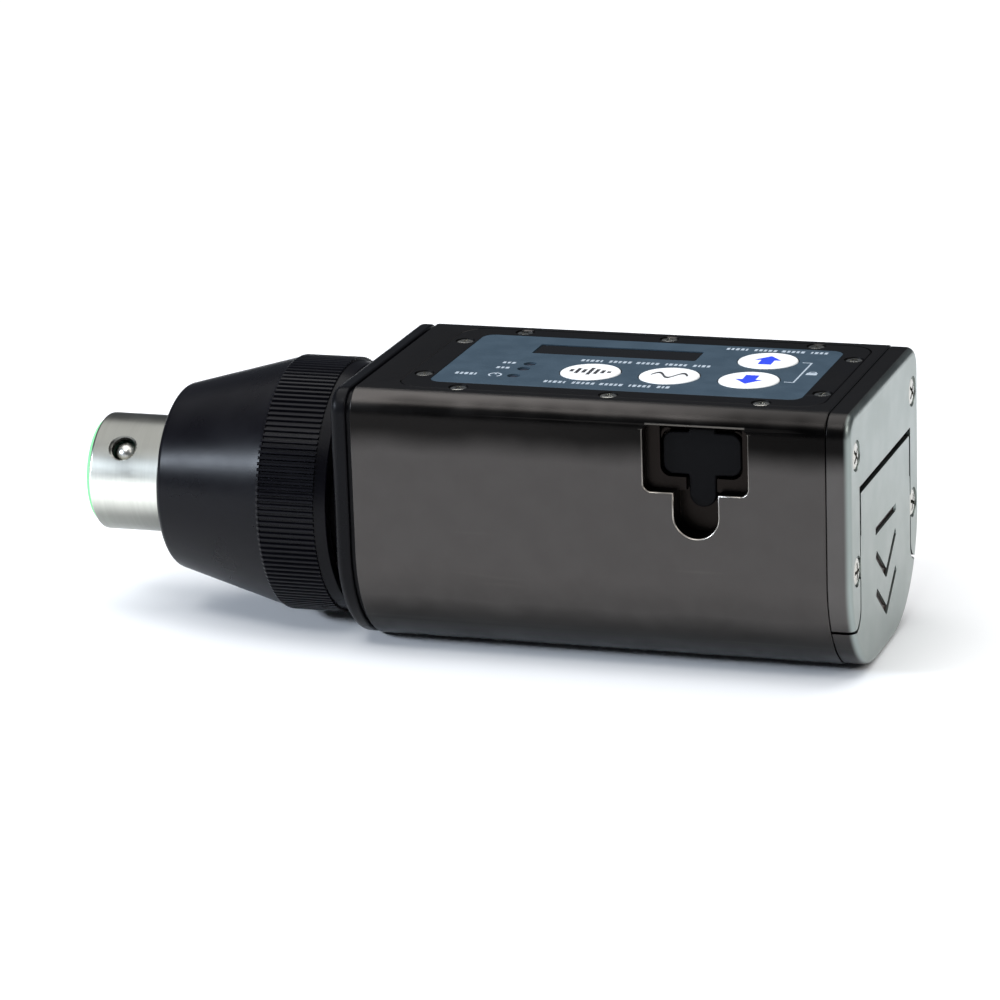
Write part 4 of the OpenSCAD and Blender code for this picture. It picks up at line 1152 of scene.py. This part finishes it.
def build_plate():
    plate = panel_slab("panel_plate_form", panel_low, panel_high, 4 * MM, 0.22 * MM, "black_panel")
    well = rounded_outline(overlay_low.x - 0.06 * MM, overlay_high.x + 0.06 * MM,
                           overlay_low.y - 0.06 * MM, overlay_high.y + 0.06 * MM, 2.05 * MM)
    carve(plate, prism("well", well, overlay_low.z, panel_high.z + MM))
    carve(plate, merged(panel_cuts(panel_low.z - MM, panel_high.z + MM, 0)))
    seat = mm((-4, 0), (-4, 0.8), (-1, 0.8), (-0.28, 1.5), (0.3, 1.64), (0.3, 0))
    carve(plate, merged([lathe("seat", seat, (x, y, face_z), "Z", 36) for x, y in panel_screw_places()]))
    stand_for(plate, "panel_plate", 30)


def build_overlay():
    overlay = panel_slab("overlay_form", overlay_low, overlay_high, 2 * MM, 0.06 * MM, "slate_overlay")
    carve(overlay, merged(panel_cuts(overlay_low.z - MM, overlay_high.z + MM, 0.02 * MM)))
    add_marks(overlay, overlay_marks(), overlay_high.z, "print_pale")
    stand_for(overlay, "panel_overlay", 30)


def build_window():
    glass_low, glass_high = window_glass()
    flange = prism("window_form", rounded_outline(window_low.x, window_high.x, window_low.y, window_high.y,
                                                  0.4 * MM, 4), window_low.z, window_low.z + 0.4 * MM)
    glass = new_piece("window_form", flange, "dark_window")
    pane_low = Vector((glass_low.x, glass_low.y, window_low.z + 0.1 * MM))
    pane = panel_slab("pane", pane_low, glass_high, 0.35 * MM, 0.1 * MM, "dark_window")
    carve(glass, pane.data.copy(), "UNION")
    bpy.data.objects.remove(pane)
    stand_for(glass, "display_window", 30)


def build_screws():
    tree = screw_tree()
    places = [(x, y, face_z - 0.24 * MM) for x, y in panel_screw_places()]
    panel = grown("panel_screw_heads", tree, {
        "Head Radius": 1.32 * MM, "Dome": 0.24 * MM, "Shank": 3.8 * MM, "Slot Width": 0.34 * MM,
        "Slot Depth": 0.3 * MM, "Seed": 3, "Material": finish["screw_steel"]}, point_mesh(places))
    stand_for(panel, "panel_screws", 40)
    places = [(cap_high.x - 0.32 * MM, y, z) for y, z in end_screw_seats()]
    end = grown("end_screw_heads", tree, {
        "Head Radius": 2.15 * MM, "Dome": 0.3 * MM, "Shank": 11 * MM, "Slot Width": 0.55 * MM,
        "Slot Depth": 0.45 * MM, "Tilt": (0, math.pi / 2, 0), "Seed": 5,
        "Material": finish["screw_steel"]}, point_mesh(places))
    stand_for(end, "end_frame_screws", 40)


def point_mesh(places):
    mesh = bpy.data.meshes.new("screw_places")
    mesh.from_pydata(places, [], [])
    return mesh


def build_lenses():
    for node in lens_names:
        low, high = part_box(node)
        radius = (high.x - low.x) / 2
        centre = (low + high) / 2
        half = (high.z - low.z) / 2
        profile = filleted([(-half, 0.0, 0), (-half, radius, 0), (half, radius, 0.55 * MM), (half, 0.0, 0)])
        lens = turned_piece(node + "_form", "led_lens", profile, centre, "Z", 36)
        stand_for(lens, node, 50)


# ---- printed marks: plain shapes in place of words ----

def add_marks(piece, outlines, top, material, sink=0.03 * MM, rise=0.012 * MM):
    """Adds thin printed shapes to a piece's own mesh, in a second material."""
    piece.data.materials.append(finish[material])
    index = len(piece.data.materials) - 1
    form = bmesh.new()
    form.from_mesh(piece.data)
    for outline in outlines:
        count = len(form.faces)
        form.from_mesh(prism("mark", outline, top - sink, top + rise))
        form.faces.ensure_lookup_table()
        for face in form.faces[count:]:
            face.material_index = index
    form.to_mesh(piece.data)
    form.free()


def shape(centre, points):
    return [(centre.x + x * MM, centre.y + y * MM) for x, y in points]


def bar_shape(centre, x0, x1, y0, y1):
    return shape(centre, [(x0, y0), (x1, y0), (x1, y1), (x0, y1)])


def dash_row(centre, x0, x1, y, tall=0.95):
    """A row of small blocks that stands for a line of words."""
    widths = (0.5, 0.42, 0.55, 0.5, 0.3, 0.55, 0.45)
    row = []
    x = x0
    k = 0
    while x + 0.6 < x1:
        wide = widths[k % 7]
        if k % 6 != 5:
            row.append(bar_shape(centre, x, x + wide, y - tall / 2, y + tall / 2))
        x += wide + 0.28
        k += 1
    return row


def ring_shape(centre, radius, width, start, end, steps=20):
    outer = []
    inner = []
    for k in range(steps + 1):
        turn = math.radians(start + (end - start) * k / steps)
        outer.append((math.cos(turn) * (radius + width / 2), math.sin(turn) * (radius + width / 2)))
        inner.append((math.cos(turn) * (radius - width / 2), math.sin(turn) * (radius - width / 2)))
    return shape(centre, outer + inner[::-1])


def overlay_marks():
    marks = []
    audio, _, up, down = [middle(node) for node in key_names]
    high_led, low_led, power = [middle(node) for node in lens_names]
    for lens in (high_led, low_led):
        marks += dash_row(lens, -4.4, -1.6, 0.1)
    symbol = power + Vector((-3 * MM, 0, 0))
    marks.append(ring_shape(symbol, 0.95, 0.28, -60, 240))
    marks.append(bar_shape(symbol, -0.14, 0.14, 0.2, 1.3))
    marks += dash_row(power, -9.4, -4.8, 0, 1.15)
    marks += dash_row(audio, -3.4, 17.5, 6.6, 1.15)
    marks += dash_row(audio, -5.5, 14.5, -6.5, 1.15)
    marks += dash_row(up, -8.2, 8.2, 6.1, 1.1)
    middle_y = (up.y - down.y) / MM
    for y0 in (0, middle_y):
        marks.append(bar_shape(down, 5.5, 7.1, y0 - 0.13, y0 + 0.13))
    marks.append(bar_shape(down, 6.84, 7.1, 0.13, middle_y - 0.13))
    lock = down + Vector((8.5 * MM, (up.y - down.y) / 2 - 0.3 * MM, 0))
    marks.append(bar_shape(lock, -0.85, 0.85, -0.8, 0.35))
    marks.append(ring_shape(lock + Vector((0, 0.45 * MM, 0)), 0.55, 0.24, 0, 180, 10))
    return marks


def wave_marks(centre):
    """A smooth wave, drawn as one ribbon."""
    upper = []
    lower = []
    for k in range(37):
        x = -2.9 + 5.8 * k / 36
        y = 1.3 * math.sin(2 * math.pi * k / 24)
        upper.append((x, y + 0.42))
        lower.append((x, y - 0.42))
    return [shape(centre, lower + upper[::-1])]


def level_marks(centre):
    """Upright bars of a sound level."""
    heights = (0.7, 1.5, 1, 2, 1.4, 0.9, 0.5)
    return [bar_shape(centre, x - 0.3, x + 0.3, -tall, tall) for x, tall in zip(range(-3, 4), heights)]


def arrow_marks(centre, way):
    points = [(-1.05, -2.5), (1.05, -2.5), (1.05, 0), (2.15, 0), (0, 2.5), (-2.15, 0), (-1.05, 0)]
    return [shape(centre, [(x * way, y * way) for x, y in points])]


def build_keys():
    prints = {
        "audio_button": (level_marks, (), "print_dark"), "freq_button": (wave_marks, (), "print_dark"),
        "up_button": (arrow_marks, (1,), "print_blue"), "down_button": (arrow_marks, (-1,), "print_blue")}
    for node in key_names:
        low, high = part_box(node)
        centre = (low + high) / 2
        flange = (high.x - low.x) / 2
        radius = key_radius()
        half = (high.z - low.z) / 2
        top = half - 0.015 * MM
        step = -half + 0.6 * MM
        profile = filleted([(-half, 0.0, 0), (-half, flange, 0.1 * MM), (step, flange, 0.1 * MM),
                            (step, radius, 0), (top, radius, 0.3 * MM), (top, 0.0, 0)], 5)
        key = turned_piece(node + "_form", "white_button", profile, centre, "Z", 96)
        draw, more, ink = prints[node]
        add_marks(key, draw(centre, *more), centre.z + top, ink)
        stand_for(key, node, 30)


# ---- build ----

aim_camera()
lay_floor()
light_studio()
build_housing()
build_insulator()
build_end_frame()
build_door()
build_coupler()
build_barrel()
build_spring()
build_insert()
build_ball()
build_plate()
build_overlay()
build_window()
build_screws()
build_lenses()
build_keys()
refine("port_cover", 0.3 * MM, 3)
